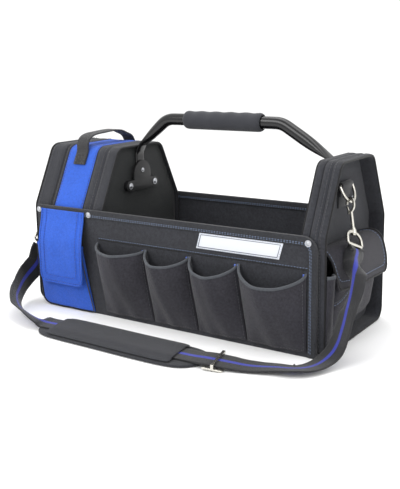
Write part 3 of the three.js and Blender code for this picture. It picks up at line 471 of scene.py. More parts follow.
def corded(name, path, radius, finish, slot):
    """A thin round cord or piping along a path of points in millimetres."""
    bare()
    line = bpy.data.curves.new(name, "CURVE")
    line.dimensions = "3D"
    run = line.splines.new("POLY")
    run.points.add(len(path) - 1)
    for spot, p in zip(run.points, path):
        spot.co = (*(MM * Vector(p)), 1)
    line.bevel_depth = radius * MM
    line.bevel_resolution = 2
    line.use_fill_caps = True
    piece = bpy.data.objects.new(name, line)
    bpy.context.collection.objects.link(piece)
    only(piece)
    bpy.ops.object.convert(target="MESH")
    piece = bpy.context.object
    smoothed(piece, 70)
    return dressed(piece, finish, slot)


piping_grey = woven("piping_cloth", rgb(70, 73, 78), pitch=0.8, worn=0.12)
piping_dark = woven("dark_piping", rgb(16, 16, 18), pitch=0.8, rough=0.7)

# The tool case is a padded box of cloth over board at the left end: a lid, a zip, a strip, a blue
# gusset and a charcoal band, each running all the way round the same upright outline.
end_half = 103.2
end_top_half = 56
end_height = 260
wall_height = 165
case_face = -257
lid_end = -224
zip_end = -221.1
strip_end = -215.8
gusset_end = -155.5
case_inner = -115.2
panel_face = -120.2
end_corners = [
    (-end_half, 0, 20), (end_half, 0, 20), (end_half, wall_height, 26),
    (end_top_half, end_height, 20), (-end_top_half, end_height, 20), (-end_half, wall_height, 26),
]


def end_outline(inset, steps=7, spans=(18, 14, 9, 9, 9, 14)):
    """The upright outline of an end in Y and Z, moved inwards, with as many points at any inset."""
    edges = []
    for (y, z, _), (y2, z2, _) in zip(end_corners, end_corners[1:] + end_corners[:1]):
        length = math.hypot(y2 - y, z2 - z)
        normal = (-(z2 - z) / length, (y2 - y) / length)
        edges.append((normal, normal[0] * y + normal[1] * z + inset))
    arcs = []
    for i, (y, z, radius) in enumerate(end_corners):
        (n1, o1), (n2, o2) = edges[i - 1], edges[i]
        r = max(radius - inset, 1.5)
        det = n1[0] * n2[1] - n1[1] * n2[0]
        cy = ((o1 + r) * n2[1] - (o2 + r) * n1[1]) / det
        cz = ((o2 + r) * n1[0] - (o1 + r) * n2[0]) / det
        start = math.atan2(-n1[1], -n1[0])
        turn = (math.atan2(-n2[1], -n2[0]) - start) % (2 * math.pi)
        angles = [start + turn * s / steps for s in range(steps + 1)]
        arcs.append([(cy + r * math.cos(a), cz + r * math.sin(a)) for a in angles])
    points = []
    for arc, after, parts in zip(arcs, arcs[1:] + arcs[:1], spans):
        (y, z), (y2, z2) = arc[-1], after[0]
        points += arc
        points += [(mix(y, y2, k / parts), mix(z, z2, k / parts)) for k in range(1, parts)]
    return points


def end_loft(name, rows, closed=False, slack=0.0, seed=0.0):
    """A body lofted along X through the end outline at rows of (x, inset), its open ends filled."""
    rows = rows + rows[:1] if closed else rows
    loops = [end_outline(inset) for x, inset in rows]
    count = len(loops[0])

    def place(u, v):
        row = round(v * (len(rows) - 1))
        y, z = loops[row][round(u * count) % count]
        x = rows[row][0]
        puff = slack * abs(noise.noise(Vector((x * 0.021 + seed, y * 0.019, z * 0.019))))
        inward = Vector((-y, 120 - z)).normalized()
        return (x, y + puff * inward.x, z + puff * inward.y)

    piece = laid_grid(name, count, len(rows) - 1, place)
    only(piece)
    bpy.ops.object.mode_set(mode="EDIT")
    bpy.ops.mesh.select_all(action="SELECT")
    bpy.ops.mesh.remove_doubles(threshold=0.00002)
    if not closed:
        bpy.ops.mesh.fill_holes(sides=0)
    bpy.ops.mesh.select_all(action="SELECT")
    bpy.ops.mesh.normals_make_consistent(inside=False)
    bpy.ops.object.mode_set(mode="OBJECT")
    return piece


def around(x, inset, out=0.0):
    """A path round the end outline at one place along X."""
    ring = [(x, y, z) for y, z in end_outline(inset - out)]
    return ring + ring[:1]


lid = end_loft("case_lid_shell", [
    (-254.4, 30), (-254.4, 6), (case_face + 5, 3.2), (lid_end, 3.2),
    (lid_end, 0.8), (lid_end - 0.8, 0.2), (lid_end - 9, 0), (lid_end - 17, 0.5), (case_face + 8, 0.2),
    (case_face + 4, 0.4), (case_face + 1.6, 1.8), (case_face + 0.3, 4.2), (case_face + 0.3, 7),
    (case_face + 1.0, 10), (case_face + 0.2, 16), (case_face - 0.6, 30), (case_face - 0.9, 50),
    (case_face - 1.0, 70),
], slack=0.5, seed=2.0)
smoothed(lid, 50)
dressed(lid, charcoal, "charcoal_cloth", "case_lid")
corded("lid_piping", around(case_face + 1.2, 1.0), 1.5, piping_dark, "charcoal_cloth")
sewn("lid_stitches", around(case_face + 7.5, 0, 0.1), dark_thread, "charcoal_cloth")

# The zip's tape is black, and its two rows of teeth mesh in a line down the middle of the tape.
tape = Finish("zip_tape", Specular_IOR_Level=0.3)
tape_grain = tape.grain(tape.place(), 900, 2.0)
tape_black = tape.done(
    Base_Color=tape.mixed(tape_grain, rgb(12, 12, 14), rgb(34, 34, 38)),
    Roughness=tape_grain * 0.2 + 0.55,
    Normal=tape.raised(tape_grain, 0.0002),
)
zip_tape = end_loft("zip_tape_band", [
    (lid_end + 0.3, 1.2), (zip_end, 1.2), (zip_end, 3.6), (lid_end + 0.3, 3.6),
], closed=True)
dressed(smoothed(zip_tape), tape_black, "zip_tape", "case_zip")
teeth = Finish("zip_teeth", Roughness=0.35, Base_Color=rgb(30, 30, 33))
for i, x in enumerate((lid_end + 1.15, zip_end - 0.95)):
    sewn(f"zip_teeth_{i + 1}", around(x, 0.9), teeth.material, "zip_tape", 1.1, 0.9, 0.75)

strip = end_loft("zip_strip_band", [
    (zip_end + 0.3, 1.0), (zip_end + 0.5, 0.3), (zip_end + 2.8, 0), (strip_end - 0.3, 0.3), (strip_end, 1.0),
    (strip_end, 3), (zip_end + 0.3, 3),
], closed=True)
dressed(smoothed(strip, 50), charcoal, "charcoal_cloth", "case_zip_strip")
sewn("zip_strip_stitches", around(zip_end + 2.8, 0, 0.1), dark_thread, "charcoal_cloth")

gusset_rows = [(strip_end + 0.3, 1.3)]
gusset_rows += [(mix(strip_end + 1.2, gusset_end - 1.0, k / 8), 0.55) for k in range(9)]
gusset_rows += [(gusset_end, 1.3), (gusset_end, 3.5), (strip_end + 0.3, 3.5)]
gusset = end_loft("case_gusset_band", gusset_rows, closed=True, slack=1.1, seed=7.0)
dressed(smoothed(gusset, 50), blue, "blue_cloth", "case_gusset")
for i, x in enumerate((strip_end + 3, gusset_end - 3)):
    sewn(f"gusset_stitches_{i + 1}", around(x, 0.6, 0.1), navy_thread, "blue_cloth")

# The inner band is two padded ridges with a sewn groove between them.
groove = mix(gusset_end + 0.3, case_inner, 0.47)
ridge_rows = [(gusset_end + 0.3, 1.8), (gusset_end + 1.5, 0.5), (gusset_end + 7, 0), (groove - 3, 0.3)]
ridge_rows += [(groove - 0.9, 1.2), (groove, 1.9), (groove + 0.9, 1.2), (groove + 3, 0.3)]
ridge_rows += [(case_inner - 8, 0), (case_inner - 2, 0.4), (case_inner - 0.4, 1.2), (case_inner, 2.2)]
ridge_rows += [(case_inner, 3), (groove, 3), (gusset_end + 0.3, 3)]
inner_band = end_loft("case_inner_ridges", ridge_rows, closed=True, slack=0.5, seed=11.0)
dressed(smoothed(inner_band, 60), charcoal, "charcoal_cloth", "case_inner_band")
for i, x in enumerate((groove - 4.5, groove + 4.5)):
    sewn(f"inner_band_stitches_{i + 1}", around(x, 0.15, 0.15), dark_thread, "charcoal_cloth")
corded("inner_band_piping", around(case_inner - 0.6, 1.6), 1.3, piping_dark, "charcoal_cloth")
corded("gusset_piping", around(gusset_end + 0.2, 1.4), 1.1, piping_dark, "charcoal_cloth")

# The inner board wears the lining cloth, whose darkness is partly painted shade.
inner_panel = end_loft("case_inner_board", [
    (panel_face - 4, 60), (panel_face - 4, 4.5), (panel_face - 3.4, 3.4), (panel_face - 0.8, 3.4),
    (panel_face, 4.4), (panel_face, 12), (panel_face, 40), (panel_face, 75),
])
dressed(smoothed(inner_panel, 50), dark_lining_and_painted_shade, "inner_cloth", "case_inner_panel")

# The right end is a padded board, and a rim of the same padding stands out round it.
right_inner = 228
recess_face = 240
rim_end = 263.5
end_board = end_loft("right_end_board", [
    (right_inner, 70), (right_inner, 6), (right_inner + 0.5, 2), (right_inner + 2, 0.3),
    (right_inner + 6, 0), (recess_face - 2, 0.3), (recess_face - 0.4, 1.8), (recess_face, 4),
    (recess_face, 12), (recess_face, 40), (recess_face, 75),
])
dressed(smoothed(end_board, 50), charcoal, "charcoal_cloth", "right_end_wall")
rim_groove = mix(recess_face + 0.3, rim_end, 0.5)
rim_rows = [(recess_face + 0.3, 1.6), (recess_face + 1.5, 0.4), (recess_face + 6, 0), (rim_groove - 2.4, 0.3)]
rim_rows += [(rim_groove - 0.8, 1.2), (rim_groove, 1.9), (rim_groove + 0.8, 1.2), (rim_groove + 2.4, 0.3)]
rim_rows += [(rim_end - 5, 0), (rim_end - 1.6, 0.5), (rim_end - 0.2, 1.6), (rim_end, 2.6), (rim_end - 1, 3.8)]
rim_rows += [(rim_groove, 4), (recess_face + 0.3, 4)]
rim = end_loft("right_end_ridges", rim_rows, closed=True, slack=0.4, seed=17.0)
dressed(smoothed(rim, 60), charcoal, "charcoal_cloth", "right_end_rim")
for i, x in enumerate((rim_groove - 3.6, rim_groove + 3.6)):
    sewn(f"rim_stitches_{i + 1}", around(x, 0.15, 0.15), dark_thread, "charcoal_cloth")
corded("rim_piping", around(rim_end - 0.5, 2.2), 1.5, piping_dark, "charcoal_cloth")
corded("right_inner_piping", around(right_inner + 0.6, 1.2), 1.1, piping_dark, "charcoal_cloth")


# The front and back walls are cloth over board. Each is bound with tape along its top and right edge,
# folded over and sewn through with two rows of grey thread.
def traced(node, name, fatten=0.0):
    """A merged copy of a plain solid's mesh, with its flat triangle pairs made into quads."""
    bare()
    piece = bpy.data.objects.new(name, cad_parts[node].data.copy())
    bpy.context.collection.objects.link(piece)
    only(piece)
    bpy.ops.mesh.customdata_custom_splitnormals_clear()
    bpy.ops.object.mode_set(mode="EDIT")
    bpy.ops.mesh.select_all(action="SELECT")
    bpy.ops.mesh.remove_doubles(threshold=0.00001)
    bpy.ops.mesh.tris_convert_to_quads()
    if fatten:
        bpy.ops.transform.shrink_fatten(value=fatten * MM)
    bpy.ops.object.mode_set(mode="OBJECT")
    return piece


wall_left = -247
wall_right = 253
wall_face = 108
binding = woven("binding_tape", rgb(40, 41, 45), pitch=0.9, rough=0.75)
for side, sign in (("front", -1), ("back", 1)):
    wall = traced(f"{side}_wall", f"{side}_wall_cloth")
    worked(wall, "BEVEL", width=1.2 * MM, segments=3, limit_method="ANGLE", angle_limit=math.radians(40))
    dressed(smoothed(wall, 50), charcoal, "charcoal_cloth", f"{side}_wall")
    tape_fold = traced(f"{side}_binding", f"{side}_binding_tape")
    fold_edge = math.radians(40)
    worked(tape_fold, "BEVEL", width=0.45 * MM, segments=2, limit_method="ANGLE", angle_limit=fold_edge)
    dressed(smoothed(tape_fold, 50), binding, "binding_cloth", f"{side}_binding")
    for row, inset in enumerate((8.6, 6.6)):
        for face, y in (("out", wall_face + 1.6), ("in", wall_face - 4.6)):
            bend = [math.radians(90 - 90 * s / 10) for s in range(11)]
            radius = 20 - inset
            path = [(wall_left + 2, sign * y, wall_height - inset), (0, sign * y, wall_height - inset)]
            path += [
                (wall_right - 20 + radius * math.cos(a), sign * y, wall_height - 20 + radius * math.sin(a))
                for a in bend
            ]
            path.append((wall_right - inset, sign * y, 3))
            row_name = f"{side}_binding_stitches_{face}_{row + 1}"
            sewn(row_name, path, grey_thread, "binding_cloth", 3.0, 1.4, 0.5)

# The base wears the lining cloth too, darkened partly as painted shade.
base = traced("base_panel", "base_board")
worked(base, "BEVEL", width=1.0 * MM, segments=3, limit_method="ANGLE", angle_limit=math.radians(40))
dressed(smoothed(base, 50), dark_lining_and_painted_shade, "inner_cloth", "base_panel")

# Four open pockets are one cut of cloth, sewn down in seams that lean to the left and gathered so
# that each mouth stands open. A grey tape binds each mouth, and a blue bar tack ends each seam.
pocket_start = -121
pocket_finish = 241
pocket_seams = [0, 0.262, 0.483, 0.708, 1]
pocket_dips = [0.5, 0.85, 1.05, 1.2]
pocket_top = 117
pocket_foot = 7
pocket_lean = 14
pocket_bulge = 30
pocket_dip = 17
cloth = 2
sewn_face = -wall_face - 0.3


def pocket_front(x0, x1, lean0, lean1, foot, top, bulge, dip, flatness, seed, fold=1.0, corner=0.0):
    """The outer face of a pocket between two seams, as place(u, v)."""
    def place(u, v):
        u = min(1, max(0, u))
        x = mix(x0 + lean0 * (1 - v), x1 + lean1 * (1 - v), u)
        crest = math.sin(math.pi * u ** 0.9) ** flatness if 0 < u < 1 else 0.0
        rise = mix(0.1, 1, math.sin(math.pi / 2 * min(1, v)))
        edge = top - dip * max(0.0, math.sin(math.pi * u)) ** 0.55
        y = sewn_face - cloth - bulge * crest * rise
        creases = 1.1 * math.sin(2 * math.pi * (2.6 * u + 0.35 * v) + seed)
        creases *= math.exp(-((u - 0.5) / 0.34) ** 2)
        slack = 2.2 * noise.noise(Vector((x * 0.03, v * 2.4, seed)))
        pull = 1.6 * math.exp(-(v / 0.22) ** 2) * math.sin(math.pi * u * 5 + seed)
        y += fold * crest * (creases * (0.4 + 0.6 * v) + slack * 0.6 + pull * 0.6)
        round_in = max(0.0, corner - u * (x1 - x0))
        lift = corner - math.sqrt(corner ** 2 - round_in ** 2)
        return (x, min(y, sewn_face - cloth), mix(foot + lift, edge, v))
    return place


def outward(place, u, v, step=0.004):
    """The direction that a sheet's outer face looks in."""
    across = Vector(place(min(u + step, 1), v)) - Vector(place(max(u - step, 0), v))
    along = Vector(place(u, min(v + step, 1))) - Vector(place(u, max(v - step, 0)))
    return across.cross(along).normalized()


def cloth_piece(name, place, across, along, thick, finish, slot, node):
    piece = laid_grid(name, across, along, place)
    worked(piece, "SOLIDIFY", thickness=thick * MM, offset=-1)
    worked(piece, "SUBSURF", levels=1, render_levels=1)
    smoothed(piece, 60)
    return dressed(piece, finish, slot, node)


def bound_mouth(name, place, thick, width, finish, slot):
    """A tape folded over a pocket's top edge."""
    tall = (Vector(place(0.5, 1)) - Vector(place(0.5, 0))).length
    share = width / tall
    profile = [(1 - share, 0.5), (1 - share * 0.5, 0.75), (1, 0.7), (1, -thick / 2), (1, -thick - 0.7)]
    profile += [(1 - share * 0.5, -thick - 0.7), (1 - share, -thick - 0.4)]
    lift = [0, 0, 0.2, 0.9, 0.2, 0, 0]

    def fold(u, w):
        k = round(w * (len(profile) - 1))
        v, off = profile[k]
        spot = Vector(place(u, v)) + outward(place, u, v) * off
        return spot + Vector((0, 0, lift[k]))

    piece = laid_grid(name, 40, len(profile) - 1, fold)
    worked(piece, "SOLIDIFY", thickness=0.5 * MM, offset=0)
    worked(piece, "SUBSURF", levels=1, render_levels=1)
    smoothed(piece, 70)
    dressed(piece, finish, slot)


def on_face(place, spots, off=0.35):
    """A path over a sheet's outer face through spots of (u, v)."""
    return [Vector(place(u, v)) + outward(place, u, v) * off for u, v in spots]


def line_of(start, end, steps=30):
    return [(mix(start[0], end[0], k / steps), mix(start[1], end[1], k / steps)) for k in range(steps + 1)]


for i, dip in enumerate(pocket_dips):
    last = i == len(pocket_dips) - 1
    front = pocket_front(
        mix(pocket_start, pocket_finish, pocket_seams[i]) + 0.3,
        mix(pocket_start, pocket_finish, pocket_seams[i + 1]) - 0.3,
        pocket_lean, 0 if last else pocket_lean, pocket_foot, pocket_top,
        pocket_bulge, dip * pocket_dip, 0.7, 3.1 * i,
    )
    number = i + 1
    name = f"pocket_{number}"
    cloth_piece(name, front, 40, 26, cloth, pocket_grey, "pocket_cloth", "front_" + name)
    bound_mouth(f"pocket_binding_{number}", front, cloth, 3.0, piping_grey, "binding_cloth")
    for edge, u in (("left", 0.035), ("right", 0.965)):
        path = on_face(front, line_of((u, 0.02), (u, 0.95)), 0.3)
        sewn(f"pocket_{number}_{edge}_stitches", path, dark_thread, "pocket_cloth", 3.0, 1.3, 0.4)
    foot_path = on_face(front, line_of((0.03, 0.035), (0.97, 0.035)), 0.3)
    sewn(f"pocket_{number}_foot_stitches", foot_path, dark_thread, "pocket_cloth", 3.0, 1.3, 0.4)
    tack_x = mix(pocket_start, pocket_finish, pocket_seams[i + 1]) - 2.5
    for edge, x in (("left", mix(pocket_start, pocket_finish, pocket_seams[i]) + 2.5), ("right", tack_x)):
        bar = [(x - 2, sewn_face - cloth - 1.0, pocket_top - 1 - 0.7 * k) for k in range(0, 9)]
        sewn(f"bar_tack_{number}_{edge}", bar, blue_thread, "pocket_cloth", 0.9, 0.0, 1.6)

# A seam tape runs along the wall just over the pockets, with one row of grey stitches.
seam_level = 121.5
tape_path = [(pocket_start + 1, sewn_face, seam_level), (pocket_finish, sewn_face, seam_level)]
corded("pocket_row_seam", tape_path, 0.7, piping_dark, "charcoal_cloth")
over_tape = [(x, y - 0.1, z + 2.4) for x, y, z in tape_path]
sewn("pocket_row_stitches", over_tape, grey_thread, "charcoal_cloth", 3, 1.4, 0.5)

# The blue pocket on the tool case has a flap, hemmed and sewn round in two rows, that laps over the
# binding and hangs down its front.
case_front = pocket_front(-244, -151, 3, 21, 2, 107, 14, 3, 0.24, 5.0, 0.35, 16)
cloth_piece("blue_pocket", case_front, 44, 26, cloth, blue, "blue_cloth", "case_pocket")
bound_mouth("blue_pocket_binding", case_front, cloth, 4, blue, "blue_cloth")
right_edge = on_face(case_front, line_of((0.985, 0.0), (0.985, 1)), 0.2)
corded("blue_pocket_piping", right_edge, 0.9, piping_grey, "binding_cloth")
foot_line = line_of((0.012, 1), (0.012, 0.005)) + line_of((0.012, 0.005), (0.97, 0.005), 60)[1:]
corded("blue_pocket_left_piping", on_face(case_front, foot_line, 0.3), 1.2, piping_dark, "binding_cloth")
flap_left = wall_left + 12
flap_slant = 5
flap_width = 90
flap_foot = 45
flap_top = wall_height - 11 + 8
flap_thick = 2.2
flap_corner = 10
flap_seat = sewn_face - 1.2 - 0.3


def case_flap(u, v):
    corner = max(0, flap_corner - min(u, 1 - u) * flap_width)
    lift = flap_corner - math.sqrt(flap_corner ** 2 - corner ** 2)
    z = mix(flap_foot + lift, flap_top, v)
    hang = ease((flap_top - z) / (flap_top - 107))
    x = flap_left + flap_width * u + flap_slant * hang
    y = flap_seat - flap_thick - (14 + cloth - 1.2) * hang
    middle = math.sin(math.pi * u) ** 0.6 * math.sin(math.pi * min(1, max(0, v))) ** 0.6
    puff = middle * (1.4 + 1.6 * noise.noise(Vector((x * 0.035, z * 0.03, 4.0))))
    return (x, y - max(0, puff), z)


cloth_piece("blue_flap", case_flap, 50, 56, flap_thick, blue, "blue_cloth", "case_flap")


def inset_border(place, wide, tall, inset, corner, out, open_top=True):
    """A path round a sheet's two sides and foot, an inset in millimetres from its edge."""
    u, v = inset / wide, inset / tall
    ru, rv = corner / wide, corner / tall
    bend = [math.radians(90 * k / 6) for k in range(7)]
    spots = line_of((u, 1 if open_top else 1 - v), (u, v + rv), 24)
    spots += [(u + ru * (1 - math.cos(a)), v + rv * (1 - math.sin(a))) for a in bend]
    spots += line_of((u + ru, v), (1 - u - ru, v), 20)
    spots += [(1 - u - ru * (1 - math.sin(a)), v + rv * (1 - math.cos(a))) for a in bend]
    spots += line_of((1 - u, v + rv), (1 - u, 1 if open_top else 1 - v), 24)
    return on_face(place, spots, out)


flap_tall = flap_top - flap_foot
corded("blue_flap_hem", inset_border(case_flap, flap_width, flap_tall, 1.2, 9, -0.4), 1.5, blue, "blue_cloth")
welt_path = inset_border(case_flap, flap_width, flap_tall, 10.6, 6, -0.1)
corded("blue_flap_welt", welt_path, 0.8, blue, "blue_cloth")
for i, inset in enumerate((3.6, 12.6)):
    path = inset_border(case_flap, flap_width, flap_tall, inset, 7, 0.3)
    sewn(f"blue_flap_stitches_{i + 1}", path, navy_thread, "blue_cloth", 3.0, 1.3, 0.45)
blue_bar = [(-154, sewn_face - 3, 112 - 0.7 * k) for k in range(8)]
sewn("blue_tack", blue_bar, piping_grey, "blue_cloth", 0.9, 0.0, 1.5)

# The label is a bare white plate of soft plastic with a slanted left edge and a thin grey frame.
plate = Finish("label_plate", Roughness=0.35, Base_Color=rgb(206, 209, 215), Coat_Weight=0.1)
plate_mottle = plate.grain(plate.place(), 60, 2.0)
plate_white = plate.done(Roughness=plate_mottle * 0.15 + 0.3)
label = traced("front_label", "label_plate")
worked(label, "BEVEL", width=0.5 * MM, segments=3, limit_method="ANGLE", angle_limit=math.radians(40))
dressed(smoothed(label, 50), plate_white, "label_plate", "front_label")
label_y = sewn_face - 0.85
frame_corners = [(67.9, 133.1), (195.6, 133.1), (200.9, 151.1), (73.4, 151.1), (67.9, 133.1)]
frame_grey = Finish("label_frame", Roughness=0.5, Base_Color=rgb(84, 90, 104))
frame_path = [(x, label_y, z) for x, z in frame_corners]
corded("label_line", frame_path, 0.6, frame_grey.material, "label_plate")
edge_corners = [(65.4, 131.2), (197.5, 131.2), (204, 153), (71.6, 153), (65.4, 131.2)]
edge_path = [(x, label_y, z) for x, z in edge_corners]
sewn("label_stitches", edge_path, grey_thread, "label_plate", 2.6, 1.2, 0.35)

# The right end carries a deep pocket with a flap, low at its near side, and a narrow side pocket.
end_face = recess_face + 0.3
pocket_middle = -8
pocket_half = 68
end_rows = [(0, 0.12), (0.06, 0.5), (0.2, 0.78), (0.5, 0.97), (0.8, 1), (1, 0.86)]


def share_at(rows, t):
    for (a, left), (b, right) in zip(rows, rows[1:]):
        if t <= b:
            return mix(left, right, (t - a) / (b - a))
    return rows[-1][1]


def signed_power(c, p):
    return math.copysign(abs(c) ** p, c)


def end_pocket(u, v):
    y = pocket_middle - pocket_half * signed_power(math.cos(math.pi * u), 0.45)
    out = max(0, math.sin(math.pi * u)) ** 0.45 * share_at(end_rows, v)
    reach = 34 + 0.05 * (y - pocket_middle)
    top = 133 - 34 * (1 - ease((y - pocket_middle + pocket_half) / 50))
    x = end_face + reach * out
    ripple = 1.6 * noise.noise(Vector((y * 0.035, v * 3, 9.0))) * out
    return (max(end_face, x + ripple - 0.8 * out), y, mix(20, top, v))


cloth_piece("end_pocket_cloth", end_pocket, 56, 30, cloth, pocket_grey, "pocket_cloth", "end_pocket")
piping_line = on_face(end_pocket, line_of((0.1, 0.62), (0.9, 0.62), 60), 0.1)
corded("end_pocket_piping", piping_line, 0.8, piping_grey, "binding_cloth")
stitch_line = on_face(end_pocket, line_of((0.1, 0.58), (0.9, 0.58), 60), 0.3)
sewn("end_pocket_stitches", stitch_line, grey_thread, "pocket_cloth")
far_line = [(-0.05, 0), (0.28, -0.05), (0.5, -0.02), (0.71, 0.12), (0.87, 0.5), (0.96, 1)]
near_line = [(-0.05, 0), (0.15, 0.03), (0.29, 0.1), (0.46, 0.26), (0.6, 0.45), (0.79, 1)]
end_flap_top = 143
end_flap_drop = 56
end_flap_reach = 42
end_flap_half = pocket_half + 3


def end_flap(u, v):
    u = min(1, max(0, u))
    lines = [
        [Vector((out * end_flap_reach, 0, end_flap_top - down * end_flap_drop)) for out, down in rows]
        for rows in (near_line, far_line)
    ]
    y = pocket_middle + end_flap_half * (2 * u - 1)
    corner = max(0, flap_corner - min(u, 1 - u) * 2 * end_flap_half)
    lift = flap_corner - math.sqrt(flap_corner ** 2 - corner ** 2)
    at = min(1, max(0, 1 - v))
    p = flow_at(lines[0], at).lerp(flow_at(lines[1], at), ease(u / 0.35))
    puff = 1.3 * math.sin(math.pi * u) ** 0.7 * math.sin(math.pi * at) ** 0.7
    ripple = 1.2 * noise.noise(Vector((y * 0.03, v * 2.5, 14.0))) * at
    x = end_face + flap_thick + p.x + 0.05 * (y - pocket_middle) * at + (puff + ripple) * 0.7
    return (x, y, p.z + lift * at + puff * 0.5)


cloth_piece("end_flap_cloth", end_flap, 60, 40, flap_thick, pocket_grey, "pocket_cloth", "end_flap")
end_wide = 2 * end_flap_half
corded("end_flap_hem", inset_border(end_flap, end_wide, 75, 1.2, 9, -0.5), 1.7, piping_dark, "pocket_cloth")
sewn("end_flap_stitches", inset_border(end_flap, end_wide, 75, 6, 8, 0.25), grey_thread, "pocket_cloth")


def side_pocket(u, v):
    x = rim_end + 0.3 + cloth + 7 * math.sin(math.pi * u) * v
    x += 0.8 * math.sin(math.pi * u) * noise.noise(Vector((u * 3, v * 4, 21.0)))
    return (x, mix(-end_half + 2, pocket_middle - pocket_half - 5, u), mix(10, 113, v))


cloth_piece("side_pocket_cloth", side_pocket, 16, 26, cloth, pocket_grey, "pocket_cloth", "side_pocket")
bound_mouth("side_pocket_binding", side_pocket, cloth, 3.5, piping_grey, "binding_cloth")

# The handle is one bent steel tube in gloss black, flattened at its ends, with a waved foam grip.
gloss = Finish("gloss_black_tube", Coat_Weight=0.15, Coat_Roughness=0.08, Specular_IOR_Level=0.35)
gloss_wear = gloss.grain(gloss.place(), 45, 4.0, 0.6)
gloss_black = gloss.done(
    Base_Color=gloss.mixed(gloss_wear, rgb(7, 7, 8), rgb(22, 22, 24)),
    Roughness=gloss_wear * 0.14 + 0.12,
    Normal=gloss.raised(gloss_wear, 0.0002, 0.3),
)
tube = traced("handle_tube", "handle_tube_bent", 0.55)
worked(tube, "SUBSURF", levels=2, render_levels=2)
worked(tube, "REMESH", mode="VOXEL", voxel_size=1.1 * MM)
worked(tube, "SMOOTH", factor=0.5, iterations=14)
dressed(smoothed(tube, 60), gloss_black, "black_tube", "handle_tube")

foam = Finish("grip_foam", Specular_IOR_Level=0.2, Sheen_Weight=0.15)
cells = foam.grain(foam.place(), 1100, 2.0, 0.7)
foam_worn = foam.grain(foam.place(), 30, 3.0)
foam_grey = foam.done(
    Base_Color=foam.mixed(foam_worn * 0.7 + cells * 0.3, rgb(38, 39, 43), rgb(60, 61, 66)),
    Roughness=cells * 0.1 + 0.86,
    Normal=foam.raised(cells, 0.0004, 0.7),
)
grip = traced("handle_grip", "foam_grip", 0.45)
worked(grip, "SUBSURF", levels=2, render_levels=2)
dressed(smoothed(grip, 60), foam_grey, "grip_foam", "handle_grip")

# Black plastic brackets clamp the tube's flat ends to the end walls under bright screws and rivets.
moulded = Finish("moulded_black", Specular_IOR_Level=0.45)
moulded_grain = moulded.grain(moulded.place(), 1300, 2.0)
moulded_black = moulded.done(
    Base_Color=moulded.mixed(moulded_grain, rgb(9, 9, 10), rgb(22, 22, 24)),
    Roughness=moulded_grain * 0.15 + 0.38,
    Normal=moulded.raised(moulded_grain, 0.00012, 0.6),
)
for side in ("left", "right"):
    clamp = traced(f"bracket_{side}", f"bracket_{side}_moulding")
    worked(clamp, "BEVEL", width=0.8 * MM, segments=3, limit_method="ANGLE", angle_limit=math.radians(50))
    dressed(smoothed(clamp, 50), moulded_black, "black_plastic", f"bracket_{side}")


def metal(name, colour, rough):
    """Bright plated metal with fine scratches and slightly dull patches."""
    finish = Finish(name, Metallic=1.0)
    patch = finish.grain(finish.place(), 120, 3.0, 0.6)
    fine = finish.grain(finish.place(), 1500, 2.0, 0.6)
    dull = tuple(0.72 * c for c in colour[:3]) + (1.0,)
    return finish.done(
        Base_Color=finish.mixed(patch, dull, colour),
        Roughness=patch * 0.16 + (rough - 0.06),
        Normal=finish.raised(fine, 0.00005, 0.5),
    )


bright = metal("polished_steel", rgb(188, 190, 195), 0.3)
nickel = metal("nickel_plate", rgb(214, 211, 202), 0.24)

# Every rivet is a pressed cap: a flat flange, a rolled edge and a shallow dome.
rivets = []
for side, sign in (("front", -1), ("back", 1)):
    rivets += [(f"{side}_rivet_{i}", (0, sign, 0)) for i in (1, 2, 3)]
for side, sign in (("left", 1), ("right", -1)):
    rivets += [(f"bracket_rivet_{side}_{i}", (sign, 0, 0)) for i in (1, 2)]
rivets += [("end_rivet_1", (1, 0, 0)), ("end_rivet_2", (1, 0, 0))]
rivets += [("bracket_screw_left", (1, 0, 0)), ("bracket_screw_right", (-1, 0, 0))]
for node, facing_way in rivets:
    low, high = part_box(node)
    way = Vector(facing_way)
    size = high - low
    height = abs(size.dot(way))
    radius = max(size) / 2
    foot = (low + high) / 2 - way * height / 2
    bare()
    flange = 0.3 * height
    bpy.ops.mesh.primitive_cylinder_add(vertices=28, radius=radius, depth=flange, location=(0, 0, flange / 2))
    cap = bpy.context.object
    cap.name = node + "_cap"
    bpy.ops.object.mode_set(mode="EDIT")
    bpy.ops.mesh.select_all(action="DESELECT")
    bpy.ops.object.mode_set(mode="OBJECT")
    for face in cap.data.polygons:
        face.select = face.normal.z > 0.9
    bpy.ops.object.mode_set(mode="EDIT")
    for shrink, rise in ((0.90, 0.04), (0.80, -0.02), (0.84, 0.30), (0.75, 0.18), (0.55, 0.10), (0.2, 0.04)):
        bpy.ops.mesh.extrude_region_move(TRANSFORM_OT_translate={"value": (0, 0, rise * height)})
        bpy.ops.transform.resize(value=(shrink, shrink, 1))
    if "screw" in node:
        bpy.ops.mesh.extrude_region_move(TRANSFORM_OT_translate={"value": (0, 0, -0.35 * height)})
    bpy.ops.object.mode_set(mode="OBJECT")
    cap.matrix_world = Matrix.Translation(foot) @ way.to_track_quat("Z", "Y").to_matrix().to_4x4()
    bpy.ops.object.transform_apply(location=True, rotation=True, scale=True)
    dressed(smoothed(cap, 50), bright, "rivet_metal", node)

# The grab loop is a strip of black webbing sewn down to both slopes of the case with boxed crosses.
loop_middle = (strip_end + 0.3 + gusset_end) / 2
loop_width = 24
loop_thick = 2.2
loop_out = 0.3 + loop_thick / 2
slope = (end_half - end_top_half) / (end_height - wall_height)
sewn_ups = (231, 241, 251)


def on_slope(z):
    return end_top_half + (end_height - z) * slope + loop_out * math.hypot(1, slope)


